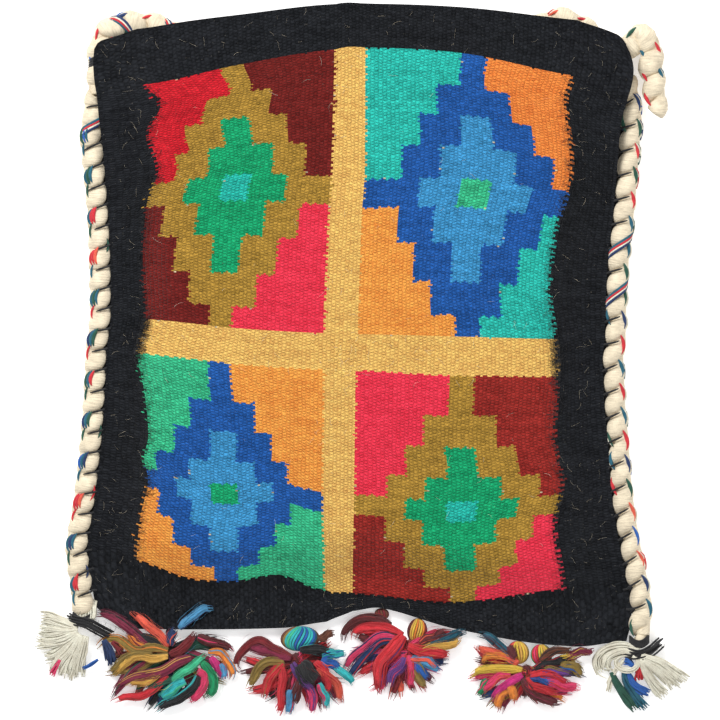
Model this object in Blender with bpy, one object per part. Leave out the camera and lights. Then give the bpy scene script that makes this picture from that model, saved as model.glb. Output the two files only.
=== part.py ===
"""A woven wool shoulder bag with a twisted rope strap, lying flat on its back.

+X runs across the bag, +Y from its base to its mouth and +Z up from the table. Lengths are in metres.
The pouch is one length of thick weft-faced cloth, folded at the base and sewn up along both sides to a
twisted rope. The rope carries on past the mouth as the strap, which is tucked beneath the pouch.
"""

import math

import bmesh
import bpy
from mathutils import Matrix, Vector

MM = 0.001
GAP = 0.0003
SEWN_GAP = 0.0009

# The pouch, flat. A bow list further down bends each straight line of it into the soft outline.
POUCH_WIDTH = 0.300
POUCH_LENGTH = 0.366
MOUTH_Y = 0.214
CLOTH = 0.0028
LOFT = 0.0065
SEAM_LOFT = 0.0006
WARP_RIDGE = 0.0004
SEAM_ALLOWANCE = 0.011
SEAM_FALL = 0.030

# The colour field on the front.
SIDE_BORDER = 0.022
MOUTH_BORDER = 0.026
UPPER_FIELD = 0.172
CROSS_BAND = 0.021
LOWER_FIELD = 0.134
UPRIGHT_BAND = 0.0185
UPRIGHT_BAND_X = -0.009

# How the pouch lies over the strap.
SIDE_FALL = 0.036
HEM_FLAT = 0.012
BASE_FALL = 0.043
CORNER_RAISED_Y = 0.134
CORNER_FALL = 0.040

# The rope and its strap.
ROPE_DIAMETER = 0.0140
ROPE_LUMP = 0.0132
ROPE_WAIST = 0.66
ROPE_NECK = 0.0042
NECK_LENGTH = 0.007
LEFT_ROPE_TOP = 0.1590
RIGHT_ROPE_TOP = 0.1685
LEFT_TUCK = 0.0058
RIGHT_TUCK = 0.0095
TUCK_LENGTH = 0.026
END_CLEARANCE = 0.0022
LEFT_END_DROP = 0.0087
RIGHT_END_DROP = 0.0017
ROUTE_STEP = 0.002
STRAP_SPACING = 0.0175

WHIPPING_RADIUS = 0.0066
WHIPPING_LENGTH = 0.0058
WHIPPING_TURNS = 3
WHIPPING_SIDES = 10

BEAD_SEGMENTS = 10
BEAD_RINGS = 6
BEAD_FLATTENING = 0.78
NECK_RADIUS = 0.0018
HANGER_RADIUS = 0.0020

ROPE_RADIUS = ROPE_DIAMETER / 2
LIFT = ROPE_DIAMETER + GAP
EDGE_SEAT = ROPE_RADIUS - CLOTH
HEM_TOP = 2 * CLOTH + WARP_RIDGE + GAP

# Colours as the dyed wool and cotton show them.
COLOURS = {
    "black_wool": (0.010, 0.011, 0.014),
    "red_wool": (0.66, 0.013, 0.03),
    "rose_wool": (0.70, 0.02, 0.07),
    "maroon_wool": (0.16, 0.011, 0.011),
    "olive_wool": (0.26, 0.15, 0.022),
    "gold_wool": (0.68, 0.38, 0.08),
    "green_wool": (0.002, 0.37, 0.13),
    "aqua_wool": (0.05, 0.46, 0.42),
    "sea_wool": (0.014, 0.49, 0.36),
    "royal_wool": (0.01, 0.052, 0.38),
    "sky_wool": (0.032, 0.22, 0.52),
    "orange_wool": (0.87, 0.22, 0.032),
    "mint_wool": (0.032, 0.48, 0.18),
    "cream_cotton": (0.79, 0.72, 0.55),
    "brown_wool": (0.19, 0.035, 0.02),
}

# Column lines 0 to 5 cross the cloth from its left edge to its right edge: left edge, left side of the
# colour field, both sides of the upright band, right side of the field, right edge. Row lines 0 to 5 run
# from the mouth to the base in the same way. Each line is straight, and its bow list says how far the
# cloth has crept from it, in millimetres, at places along the lines that cross it.
COLUMN_LINES = (
    -POUCH_WIDTH / 2,
    -POUCH_WIDTH / 2 + SIDE_BORDER,
    UPRIGHT_BAND_X - UPRIGHT_BAND / 2,
    UPRIGHT_BAND_X + UPRIGHT_BAND / 2,
    POUCH_WIDTH / 2 - SIDE_BORDER,
    POUCH_WIDTH / 2,
)
ROW_LINES = (
    MOUTH_Y,
    MOUTH_Y - MOUTH_BORDER,
    MOUTH_Y - MOUTH_BORDER - UPPER_FIELD,
    MOUTH_Y - MOUTH_BORDER - UPPER_FIELD - CROSS_BAND,
    MOUTH_Y - MOUTH_BORDER - UPPER_FIELD - CROSS_BAND - LOWER_FIELD,
    MOUTH_Y - POUCH_LENGTH,
)
COLUMN_BOWS = (
    ((0, -8.1), (0.5, -8.7), (1, -6.6), (1.27, -2.8), (1.6, 0.7), (2, 1.8), (3, -0.7),
     (3.4, -3.2), (3.8, -8.5), (4, -12.5), (5, -7.5)),
    ((0, -6.7), (1, -1.3), (1.09, 7.7), (1.23, 0.5), (1.39, 6.5), (1.51, 0), (1.75, -3.1),
     (2, -1.3), (3, -6.1), (3.2, -1.9), (3.4, 0.2), (3.5, -2.2), (3.62, 0), (3.8, -4.9), (4, -6.7), (5, -4.3)),
    ((0, 3.6), (1, 3.6), (1.4, 1.7), (1.6, -0.4), (2, -3.0), (3, -3.4), (3.6, -4.2), (4, -3.0), (5, -2.4)),
    ((0, 2.4), (1.4, 2.4), (1.6, 0.4), (2, -1.8), (3, -3.2), (3.6, -4.2), (4, -5.0), (5, -4.8)),
    ((0, 1.9), (1, -0.5), (1.09, -4.7), (1.32, -1.1), (1.43, -2.3), (1.6, -10.7), (1.84, -14.3),
     (2, -10.7), (3, -9.5), (3.3, -11.3), (3.5, -6.8), (3.7, -11.6), (4, -6.2), (5, -4.1)),
    ((0, 9.3), (0.5, 12.3), (1, 8.7), (1.09, 5.0), (1.27, 2.7), (1.5, -0.3), (1.7, -3.4), (2, -5.0),
     (2.5, -6.3), (3.1, -5.4), (3.3, -3.3), (3.56, -0.9), (3.8, 3.6), (4, 8.3), (4.6, 11.0), (5, 8.0)),
)
ROW_BOWS = (
    ((0, -22.9), (1, -15.1), (1.26, -10.3), (1.5, -6.7), (2, -0.1), (3, 0.2), (3.48, -2.2),
     (4, -9.7), (4.8, -18.1), (5, -24.1)),
    ((0, -28.7), (1, -22.1), (1.5, -10.1), (2, -1.1), (3, 0.1), (3.48, -3.5), (4, -16.7), (5, -30.5)),
    ((0, 10.7), (1, 8.3), (1.5, 2.9), (2, -0.1), (3, -0.7), (4, -3.7), (5, -4.9)),
    ((0, 12.5), (1, 9.5), (1.5, 3.5), (2, -0.1), (3, -0.7), (3.48, -3.7), (5, -4.9)),
    ((0, 26.5), (1, 18.7), (1.26, 8.5), (1.5, 6.1), (1.76, 9.7), (2, 0.7), (3, -1.1),
     (3.48, -6.5), (4, 1.3), (5, 4.9)),
    ((0, 4.7), (0.4, -6.0), (1, -9.1), (1.76, -8.5), (2, -4.9), (3, 1.7), (3.13, 3.5), (3.48, -9.1),
     (4, -19.3), (5, -16.3)),
)

# The rows in the middle of the upper field have crept up by this many millimetres, along the columns.
MIDDLE_DRIFT = ((0, 0), (1, 4), (1.5, 5.6), (2, 0.5), (3, -1.5), (3.5, 1.6), (4, 2.1), (5, 0))

# The woven diamonds: each quarter of the field has nine rows of steps. A step's half width is a share
# of its quarter's width, and each inner diamond is the outer one, two steps smaller, with a wider tip.
STEP_HALF_WIDTHS = (0.062, 0.183, 0.275, 0.367, 0.5)
INNER_TIP = 0.075
UPPER_STEPS = (0, 0.12, 0.225, 0.335, 0.45, 0.55, 0.675, 0.81, 0.925, 1)
LOWER_STEPS = (0, 0.18, 0.318, 0.455, 0.555, 0.645, 0.75, 0.86, 0.936, 1)
DIAMONDS = {
    # (left quarter, upper quarter): how its middle wanders down the rows, its three colours, then the
    # four corner colours
    (True, True): (((0, 0.452), (0.5, 0.475), (1, 0.415)), ("olive_wool", "green_wool", "aqua_wool"),
                   ("red_wool", "maroon_wool", "maroon_wool", "rose_wool")),
    (False, True): (((0, 0.527), (0.5, 0.551), (1, 0.557)), ("royal_wool", "sky_wool", "green_wool"),
                    ("sea_wool", "orange_wool", "orange_wool", "sea_wool")),
    (True, False): (((0, 0.437), (0.5, 0.434), (1, 0.479)), ("royal_wool", "sky_wool", "green_wool"),
                    ("mint_wool", "orange_wool", "orange_wool", "mint_wool")),
    (False, False): (((0, 0.525), (1, 0.525)), ("olive_wool", "green_wool", "aqua_wool"),
                     ("rose_wool", "maroon_wool", "maroon_wool", "rose_wool")),
}

# Mesh columns between the column lines: two for each modelled warp ridge.
COLUMN_COUNTS = (6, 30, 6, 32, 8)
BACK_STEP = 2
LINING_COLUMNS = (4, 6, 8, 10, 14, 22, 36, 50, 62, 70, 74, 76, 78)
LINING_ROWS = (0, 2, 4, 6, 8, 10, 12, 15, 17, 19, 21)

# The strap's route, chosen by hand: from the left rope, over the corner, beneath the pouch in three
# long turns, out above the mouth's edge and down to the right rope.
STRAP_ROUTE = (
    (-0.1568, 0.1597), (-0.1567, 0.1800), (-0.1558, 0.1893), (-0.1522, 0.1965), (-0.1455, 0.2012),
    (-0.1368, 0.2022), (-0.1180, 0.1992), (-0.1080, 0.1915), (-0.1000, 0.1790), (-0.0945, 0.1600),
    (-0.0950, 0.0800), (-0.0990, -0.0250), (-0.0905, -0.0600), (-0.0670, -0.0750), (-0.0435, -0.0600),
    (-0.0350, -0.0250), (-0.0355, 0.0850), (-0.0290, 0.1180), (-0.0040, 0.1335), (0.0210, 0.1180),
    (0.0280, 0.0850), (0.0290, -0.0250), (0.0375, -0.0600), (0.0610, -0.0750), (0.0845, -0.0600),
    (0.0930, -0.0250), (0.0875, 0.1550), (0.0930, 0.1830), (0.1055, 0.1988), (0.1200, 0.2042),
    (0.1335, 0.1988), (0.1430, 0.1890), (0.1525, 0.1842), (0.1590, 0.1866), (0.1635, 0.1918),
    (0.1690, 0.1943), (0.1731, 0.1900), (0.1742, 0.1800), (0.1764, 0.1600), (0.1782, 0.1490),
)

# What hangs along the base: each tassel's place across and its drop below the base's edge, its height and
# its strands as (angle in degrees, reach in mm).
TASSEL_HEIGHT = 0.013
TASSEL_RIM = 0.0022
GROOVE_REACH = 0.82
TASSEL_PLACES = ((-0.1150, 0.0127), (-0.0363, 0.0208), (0.0290, 0.0212), (0.1000, 0.0189))
TASSEL_BEADS = ((), ("turquoise_bead",), ("gold_bead",), ("left_yellow_bead", "right_yellow_bead"))
TASSEL_STRANDS = (
    ((182, 39), (200, 43), (222, 47), (237, 37), (247, 39), (258, 38), (271, 33), (284, 32), (297, 35),
     (307, 38), (319, 36), (331, 40), (346, 39), (1, 38), (14, 30), (45, 7), (90, 7), (135, 7)),
    ((155, 31), (177, 37), (194, 38), (210, 38), (228, 33), (245, 34), (260, 33), (281, 30), (295, 34),
     (313, 36), (333, 30), (350, 25), (10, 24), (32, 22), (60, 4), (90, 3), (120, 4)),
    ((140, 26), (150, 33), (163, 36), (178, 36), (193, 36), (207, 37), (224, 34), (238, 33), (250, 32),
     (262, 30), (276, 26), (292, 27), (310, 25), (328, 24), (344, 25), (357, 26), (15, 33), (27, 25),
     (45, 6), (90, 5), (114, 6)),
    ((152, 36), (162, 34), (173, 30), (185, 36), (203, 35), (220, 32), (236, 29), (247, 20), (262, 15),
     (278, 14), (294, 19), (310, 26), (325, 29), (340, 31), (357, 36), (10, 34), (20, 32), (60, 4),
     (120, 4)),
)
TASSEL_WOOLS = ("green_wool", "rose_wool", "rose_wool", "orange_wool")
# Strands of the left tassel that are thrown up over the hem: (angle, reach in mm).
THROWN_STRANDS = ((154, 50), (136, 30), (42, 35))
STRAND_RADIUS = 0.0030

# Wound beads between the base and the tassels: (x, half width, half length).
BEADS = {
    "turquoise_bead": (-0.0363, 0.0112, 0.0072, "sea_wool"),
    "gold_bead": (0.0340, 0.0052, 0.0074, "gold_wool"),
    "brown_knob": (0.0128, 0.0038, 0.0030, "brown_wool"),
    "left_yellow_bead": (0.0945, 0.0062, 0.0066, "gold_wool"),
    "right_yellow_bead": (0.1085, 0.0060, 0.0062, "gold_wool"),
}

# Unlaid rope ends: strands as (angle in degrees, reach in mm).
LEFT_FRINGE = ((150, 12), (168, 27), (180, 26), (193, 30), (208, 29), (223, 32), (236, 31), (249, 32),
               (263, 30), (280, 18), (298, 14), (325, 10), (20, 7), (90, 5))
RIGHT_FRINGE = ((182, 26), (200, 25), (216, 25), (231, 30), (249, 27), (265, 33), (279, 34), (293, 32),
                (310, 31), (327, 34), (345, 20), (10, 9), (90, 5))
FRINGE_HEIGHT = 0.0125
FRINGE_DROP = 0.0055


def smooth(low, high, value):
    """0 below low, 1 above high, with a smooth rise between them."""
    share = min(1.0, max(0.0, (value - low) / (high - low)))
    return share * share * (3 - 2 * share)


def along(points, at):
    """A smooth curve through (place, value) points, read at one place."""
    if at <= points[0][0]:
        return points[0][1]
    if at >= points[-1][0]:
        return points[-1][1]
    last = len(points) - 1
    here = max(i for i in range(last) if points[i][0] <= at)

    def slope(i):
        before, after = points[max(i - 1, 0)], points[min(i + 1, last)]
        return (after[1] - before[1]) / (after[0] - before[0])

    (start, low), (end, high) = points[here], points[here + 1]
    span = end - start
    t = (at - start) / span
    return (
        (2 * t**3 - 3 * t**2 + 1) * low
        + (t**3 - 2 * t**2 + t) * span * slope(here)
        + (3 * t**2 - 2 * t**3) * high
        + (t**3 - t**2) * span * slope(here + 1)
    )


def between(values, at):
    """Reads a list of values at a whole or part index."""
    index = min(int(at), len(values) - 2)
    return values[index] + (values[index + 1] - values[index]) * (at - index)


def column_x(line, row):
    return COLUMN_LINES[line] + along(COLUMN_BOWS[line], row) * MM


def row_y(line, column):
    return ROW_LINES[line] + along(ROW_BOWS[line], column) * MM


def cloth_xy(column, row):
    """Where the crossing of a column and a row of the cloth lies on the table."""
    x = between([column_x(line, row) for line in range(6)], column)
    y = between([row_y(line, column) for line in range(6)], row)
    if 1 < row < 2:
        y += along(MIDDLE_DRIFT, column) * MM * 4 * (row - 1) * (2 - row)
    return x, y


def lie(column, row):
    """The cloth's place and the height of its underside, and how far front and back stand apart."""
    x, y = cloth_xy(column, row)
    from_side = min(x - column_x(0, row), column_x(5, row) - x)
    from_base = y - row_y(5, column)
    raised = smooth(CORNER_RAISED_Y - CORNER_FALL, CORNER_RAISED_Y, y)
    over_strap = smooth(0, SIDE_FALL, from_side)
    over_strap += (1 - over_strap) * raised
    off_hem = smooth(HEM_FLAT, HEM_FLAT + BASE_FALL, from_base)
    under = off_hem * (EDGE_SEAT + (LIFT - EDGE_SEAT) * over_strap)
    loft = smooth(SEAM_ALLOWANCE, SEAM_ALLOWANCE + SEAM_FALL, from_side)
    loft *= smooth(HEM_FLAT / 2, HEM_FLAT + BASE_FALL, from_base)
    return x, y, under, SEAM_LOFT + (LOFT - SEAM_LOFT) * loft


def column_places():
    """The column coordinate of every mesh column."""
    places = [0.0]
    for line, count in enumerate(COLUMN_COUNTS):
        places += [line + (i + 1) / count for i in range(count)]
    return places


def row_places():
    """The row coordinate of every mesh row: the diamonds' steps, and a few in the borders."""
    upper = [1 + share for share in UPPER_STEPS]
    lower = [3 + share for share in LOWER_STEPS]
    return [0, 0.5] + upper + lower + [4.5, 5]


def field_colour(column, row):
    """The wool that shows at one place of the front."""
    if not 1 < column < 4 or not 1 < row < 4:
        return "black_wool"
    if 2 < column < 3 or 2 < row < 3:
        return "gold_wool"
    left, upper = column < 2, row < 2
    middle, wools, corners = DIAMONDS[(left, upper)]
    across = column - (1 if left else 3)
    down = row - (1 if upper else 3)
    steps = UPPER_STEPS if upper else LOWER_STEPS
    step = max(i for i in range(9) if steps[i] <= down)
    from_tip = min(step, 8 - step)
    centre = along(middle, down)
    for inner, wool in ((4, wools[2]), (2, wools[1]), (0, wools[0])):
        if from_tip == 4 and inner == 0:
            return wool
        half_width = INNER_TIP if inner and from_tip == inner else STEP_HALF_WIDTHS[from_tip - inner]
        if from_tip >= inner and abs(across - centre) < half_width:
            return wool
    return corners[(2 if step > 4 else 0) + (1 if across > centre else 0)]


def material(name):
    made = bpy.data.materials.get(name)
    if made is None:
        made = bpy.data.materials.new(name)
        made.use_nodes = True
        shader = made.node_tree.nodes["Principled BSDF"]
        shader.inputs["Base Color"].default_value = (*COLOURS[name], 1)
        shader.inputs["Roughness"].default_value = 0.9
        shader.inputs["Metallic"].default_value = 0.0
        made.diffuse_color = (*COLOURS[name], 1)
    return made


def add_object(name, points, faces, wools, face_wools=None):
    """One closed mesh object. face_wools gives each face's place in the list of wools."""
    mesh = bpy.data.meshes.new(name)
    mesh.from_pydata(points, [], faces)
    for wool in wools:
        mesh.materials.append(material(wool))
    if face_wools:
        mesh.polygons.foreach_set("material_index", face_wools)
    made = bpy.data.objects.new(name, mesh)
    bpy.context.collection.objects.link(made)
    face_out(made)
    return made


def face_out(made):
    """Turns every face of a closed mesh outwards."""
    work = bmesh.new()
    work.from_mesh(made.data)
    bmesh.ops.recalc_face_normals(work, faces=work.faces)
    work.to_mesh(made.data)
    work.free()


def make_pouch():
    """The folded cloth: a ridged front and back, an inner face behind each, closed at sides and base."""
    columns, rows = column_places(), row_places()
    last_column, last_row = len(columns) - 1, len(rows) - 1
    points, faces, wools_of_faces = [], [], []
    wools = list(COLOURS)[:13]

    def grid(column_set, row_set, height):
        index = {}
        for i in column_set:
            for j in row_set:
                x, y, under, loft = lie(columns[i], rows[j])
                index[i, j] = len(points)
                points.append((x, y, height(i, under, loft)))
        return index

    def face(corners, wool="black_wool"):
        faces.append(corners)
        wools_of_faces.append(wools.index(wool))

    def skin(index, column_set, row_set, upward, colour=None):
        for i, next_i in zip(column_set, column_set[1:]):
            for j, next_j in zip(row_set, row_set[1:]):
                ring = [index[i, j], index[i, next_j], index[next_i, next_j], index[next_i, j]]
                wool = colour(i, j) if colour else "black_wool"
                face(ring if upward else ring[::-1], wool)

    def front_height(i, under, loft):
        return under + 2 * CLOTH + loft + (WARP_RIDGE if i % 2 else 0)

    def back_height(i, under, loft):
        return under + (0 if i // BACK_STEP % 2 else WARP_RIDGE * smooth(0, CLOTH, under))

    def front_colour(i, j):
        return field_colour((columns[i] + columns[i + 1]) / 2, (rows[j] + rows[j + 1]) / 2)

    all_columns, all_rows = list(range(last_column + 1)), list(range(last_row + 1))
    back_columns = all_columns[::BACK_STEP]
    back_rows = list(LINING_ROWS) + [last_row]
    front = grid(all_columns, all_rows, front_height)
    back = grid(back_columns, back_rows, back_height)
    lining = list(LINING_COLUMNS)
    front_in = grid(lining, LINING_ROWS, lambda i, under, loft: under + CLOTH + loft)
    back_in = grid(lining, LINING_ROWS, lambda i, under, loft: under + CLOTH)

    skin(front, all_columns, all_rows, True, front_colour)
    skin(back, back_columns, back_rows, False)
    skin(front_in, lining, LINING_ROWS, False)
    skin(back_in, lining, LINING_ROWS, True)

    for j, next_j in zip(back_rows, back_rows[1:]):
        step = range(j, next_j + 1)
        face([front[0, k] for k in step] + [back[0, next_j], back[0, j]])
        face([front[last_column, k] for k in step][::-1] + [back[last_column, j], back[last_column, next_j]])
    for i, next_i in zip(back_columns, back_columns[1:]):
        step = range(i, next_i + 1)
        face([front[k, last_row] for k in step] + [back[next_i, last_row], back[i, last_row]])

    # The mouth: a rim between each outer face and its inner face, and an end at each side seam.
    first, last = lining[0], lining[-1]
    for i, next_i in zip(lining, lining[1:]):
        face([front[k, 0] for k in range(next_i, i - 1, -1)] + [front_in[i, 0], front_in[next_i, 0]])
        behind = [k for k in back_columns if i <= k <= next_i]
        lower = [back[k, 0] for k in behind]
        face([back_in[next_i, 0], back_in[i, 0]] + lower)
    ends = ((range(first, -1, -1), [k for k in back_columns if k <= first], first),
            (range(last_column, last - 1, -1), [k for k in back_columns if k >= last], last))
    for number, (over, behind, inner) in enumerate(ends):
        top = [front[k, 0] for k in over]
        bottom = [back[k, 0] for k in behind]
        inside = [back_in[inner, 0], front_in[inner, 0]]
        face(top + bottom + inside if number == 0 else top + inside[::-1] + bottom)

    # The seams inside: both sides and the fold.
    for j, next_j in zip(LINING_ROWS, LINING_ROWS[1:]):
        face([front_in[first, j], back_in[first, j], back_in[first, next_j], front_in[first, next_j]])
        face([front_in[last, next_j], back_in[last, next_j], back_in[last, j], front_in[last, j]])
    fold = LINING_ROWS[-1]
    for i, next_i in zip(lining, lining[1:]):
        face([front_in[i, fold], back_in[i, fold], back_in[next_i, fold], front_in[next_i, fold]])
    return add_object("woven_pouch", points, faces, wools, wools_of_faces)


def swept(path, section):
    """Points and faces of a closed tube. section(i) gives ring i as (side, up) offsets."""
    points, faces = [], []
    last = len(path) - 1
    for i, place in enumerate(path):
        ahead = (path[min(i + 1, last)] - path[max(i - 1, 0)]).normalized()
        side = ahead.cross(Vector((0, 0, 1))).normalized()
        up = side.cross(ahead)
        points += [place + side * a + up * b for a, b in section(i)]
    count = len(section(0))
    for i in range(last):
        for k in range(count):
            a, b = i * count + k, i * count + (k + 1) % count
            faces.append((a, b, b + count, a + count))
    faces.append(tuple(range(count))[::-1])
    faces.append(tuple(range(last * count, (last + 1) * count)))
    return points, faces


def circle(radius, count, turn=0.0):
    """A ring of points, the first one at the given turn."""
    return [
        (radius * math.cos(turn + math.tau * k / count), radius * math.sin(turn + math.tau * k / count))
        for k in range(count)
    ]


def rope_end(side):
    """Where a side's rope ends, beside and below the base's corner."""
    x, y = cloth_xy(0 if side < 0 else 5, 5)
    return x + side * (ROPE_RADIUS + END_CLEARANCE), y - (LEFT_END_DROP if side < 0 else RIGHT_END_DROP)


def edge_path(side):
    """The middle of the rope that is sewn along one side of the pouch, from its top end downwards."""
    left = side < 0
    column = 0 if left else 5
    top, tuck = (LEFT_ROPE_TOP, LEFT_TUCK) if left else (RIGHT_ROPE_TOP, RIGHT_TUCK)
    end = rope_end(side)
    edge = even([Vector((*cloth_xy(column, row), 0)) for row in row_places()], ROPE_LUMP / 8)
    places = []
    for place in edge:
        if top >= place.y > end[1] + NECK_LENGTH + ROPE_DIAMETER:
            inward = tuck * smooth(top - TUCK_LENGTH, top, place.y)
            places.append(Vector((place.x + side * (ROPE_RADIUS + SEWN_GAP - inward), place.y, ROPE_RADIUS)))
    places[0].y = top
    places.append(Vector((end[0], end[1] + NECK_LENGTH, ROPE_RADIUS)))
    return places


def even(places, spacing):
    """The same line, with points about a spacing apart."""
    lengths = [0.0]
    for a, b in zip(places, places[1:]):
        lengths.append(lengths[-1] + (b - a).length)
    count = max(2, round(lengths[-1] / spacing))
    result, k = [], 0
    for i in range(count + 1):
        at = lengths[-1] * i / count
        while k < len(places) - 2 and lengths[k + 1] < at:
            k += 1
        share = (at - lengths[k]) / (lengths[k + 1] - lengths[k])
        result.append(places[k].lerp(places[k + 1], share))
    return result


def make_edge_rope(name, side, fringe):
    """Two fat strands laid together, narrowed to a neck and unlaid into a fringe at the lower end."""
    path = even(edge_path(side), ROPE_LUMP / 4)
    end = rope_end(side)
    middle = (end[0], end[1] - FRINGE_DROP)
    rings = len(path)
    neck_end = Vector((*middle, ROPE_RADIUS))
    path += [path[-1].lerp(neck_end, share) for share in (0.15, 1.0)]
    shares = (1.0, 0.90, ROPE_WAIST, 0.90)

    def section(i):
        ring = []
        for k in range(8):
            share = shares[(k + i) % 4]
            reach = ROPE_RADIUS * share if i < rings - 1 else ROPE_NECK
            angle = math.tau * k / 8
            ring.append((reach * math.cos(angle), reach * math.sin(angle)))
        return ring

    points, faces = swept(path, section)
    rope = add_object(name, points, faces, ["cream_cotton"])
    tuft = make_fan(f"{name}_fringe", middle, fringe, FRINGE_HEIGHT, "cream_cotton")
    join(rope, tuft)
    return rope


def make_strand(name, start, angle, reach, radius, over=0.0):
    """A tapering tuft of yarn, from inside its neck out to its tip on the table or over the hem."""
    out = Vector((math.cos(math.radians(angle)), math.sin(math.radians(angle)), 0))
    path = []
    for share in (-0.06, 0.25, 0.6, 1.0):
        height = over + radius + (start.z - over - radius) * (1 - smooth(0, 0.6, share))
        place = Vector((start.x, start.y, height)) + out * reach * share
        path.append(place)
    sizes = (0.8, 1.0, 1.0, 0.45)
    points, faces = swept(path, lambda i: circle(radius * sizes[i], 6))
    strand = add_object(name, points, faces, ["cream_cotton"])
    return strand


def join(carrier, piece):
    """Fuses a helper shape to its carrier."""
    union = carrier.modifiers.new(piece.name, "BOOLEAN")
    union.operation = "UNION"
    union.solver = "EXACT"
    union.object = piece
    piece.hide_render = True
    piece.display_type = "WIRE"


def make_whipping(name, end):
    """Black thread bound round a rope's neck, as a ring of rounded turns."""
    inner = ROPE_NECK + GAP
    profile = []
    for turn in range(WHIPPING_TURNS):
        for share in (0.0, 0.5):
            bulge = WHIPPING_RADIUS if share else WHIPPING_RADIUS * 0.9
            profile.append((bulge, (turn + share) / WHIPPING_TURNS))
    profile.append((WHIPPING_RADIUS * 0.9, 1.0))
    profile += [(inner, 1.0), (inner, 0.0)]
    points, faces = [], []
    for k in range(WHIPPING_SIDES):
        angle = math.tau * k / WHIPPING_SIDES
        for radius, share in profile:
            y = end[1] + NECK_LENGTH * 0.5 + WHIPPING_LENGTH * (share - 0.5)
            points.append((end[0] + radius * math.cos(angle), y, ROPE_RADIUS + radius * math.sin(angle)))
    count = len(profile)
    for k in range(WHIPPING_SIDES):
        for i in range(count):
            a, b = k * count + i, k * count + (i + 1) % count
            beside = (k + 1) % WHIPPING_SIDES * count
            c, d = beside + (i + 1) % count, beside + i
            faces.append((a, b, c, d))
    return add_object(name, points, faces, ["black_wool"])


def make_strap():
    """The free rope, as one plain round tube along its route on the table."""
    distances = [0.0]
    for (ax, ay), (bx, by) in zip(STRAP_ROUTE, STRAP_ROUTE[1:]):
        distances.append(distances[-1] + math.hypot(bx - ax, by - ay))
    over_x = [(distance, x) for distance, (x, y) in zip(distances, STRAP_ROUTE)]
    over_y = [(distance, y) for distance, (x, y) in zip(distances, STRAP_ROUTE)]
    steps = round(distances[-1] / ROUTE_STEP)
    fine = []
    for i in range(steps + 1):
        at = distances[-1] * i / steps
        fine.append(Vector((along(over_x, at), along(over_y, at), ROPE_RADIUS)))
    route = even(fine, STRAP_SPACING)
    curve = bpy.data.curves.new("shoulder_strap", "CURVE")
    curve.dimensions = "3D"
    curve.bevel_depth = ROPE_RADIUS
    curve.bevel_resolution = 2
    curve.use_fill_caps = True
    line = curve.splines.new("POLY")
    line.points.add(len(route) - 1)
    for point, place in zip(line.points, route):
        point.co = (*place, 1)
    curve.materials.append(material("cream_cotton"))
    made = bpy.data.objects.new("shoulder_strap", curve)
    bpy.context.collection.objects.link(made)
    return made


def make_fan(name, middle, strands, height, wool):
    """A bundle of yarn spread round its middle: ridges along the strands, grooves between them."""
    spokes = []
    for k, (angle, reach) in enumerate(strands):
        next_angle, next_reach = strands[(k + 1) % len(strands)]
        turn = (next_angle - angle) % 360 / 2
        spokes.append((math.radians(angle), reach * MM, True))
        spokes.append((math.radians(angle + turn), min(reach, next_reach) * GROOVE_REACH * MM, False))

    def ring(share, ridge, groove):
        first = len(points)
        for angle, reach, on_strand in spokes:
            x = middle[0] + math.cos(angle) * reach * share
            y = middle[1] + math.sin(angle) * reach * share
            points.append((x, y, ridge if on_strand else groove))
        return first

    points = [(*middle, height), (*middle, 0)]
    inner = ring(0.35, 0.92 * height, 0.62 * height)
    outer = ring(0.75, 0.62 * height, 0.34 * height)
    rim = ring(1.0, TASSEL_RIM, TASSEL_RIM)
    foot = ring(0.8, 0, 0)
    faces = []
    count = len(spokes)
    for k in range(count):
        n = (k + 1) % count
        faces.append((0, inner + k, inner + n))
        for upper, lower in ((inner, outer), (outer, rim), (rim, foot)):
            faces.append((upper + k, lower + k, lower + n, upper + n))
        faces.append((1, foot + n, foot + k))
    return add_object(name, points, faces, [wool])


def tassel_middle(number):
    x, drop = TASSEL_PLACES[number]
    return x, base_edge_y(x) - drop


def make_tassel(number, knots):
    """A tassel of thick yarns, drawn up to each bead that it hangs from."""
    wool = TASSEL_WOOLS[number]
    middle = tassel_middle(number)
    tassel = make_fan(f"tassel_{number + 1}", middle, TASSEL_STRANDS[number], TASSEL_HEIGHT, wool)
    for k, knot in enumerate(knots):
        inside = Vector((knot.x, middle[1] - NECK_RADIUS, knot.z))
        below_bead = knot - Vector((0, GAP, 0))
        points, faces = swept([inside, below_bead], lambda i: circle(NECK_RADIUS, 6))
        join(tassel, add_object(f"tassel_{number + 1}_neck_{k + 1}", points, faces, [wool]))
    if number == 0:
        start = Vector((*middle, TASSEL_HEIGHT - STRAND_RADIUS))
        for k, (angle, reach) in enumerate(THROWN_STRANDS):
            name = f"thrown_strand_{k + 1}"
            join(tassel, make_strand(name, start, angle, reach * MM, STRAND_RADIUS, HEM_TOP))
    return tassel


def base_edge_y(x):
    """Where the pouch's base lies at one place across it."""
    return along([cloth_xy(column, 5) for column in column_places()], x)


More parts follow.
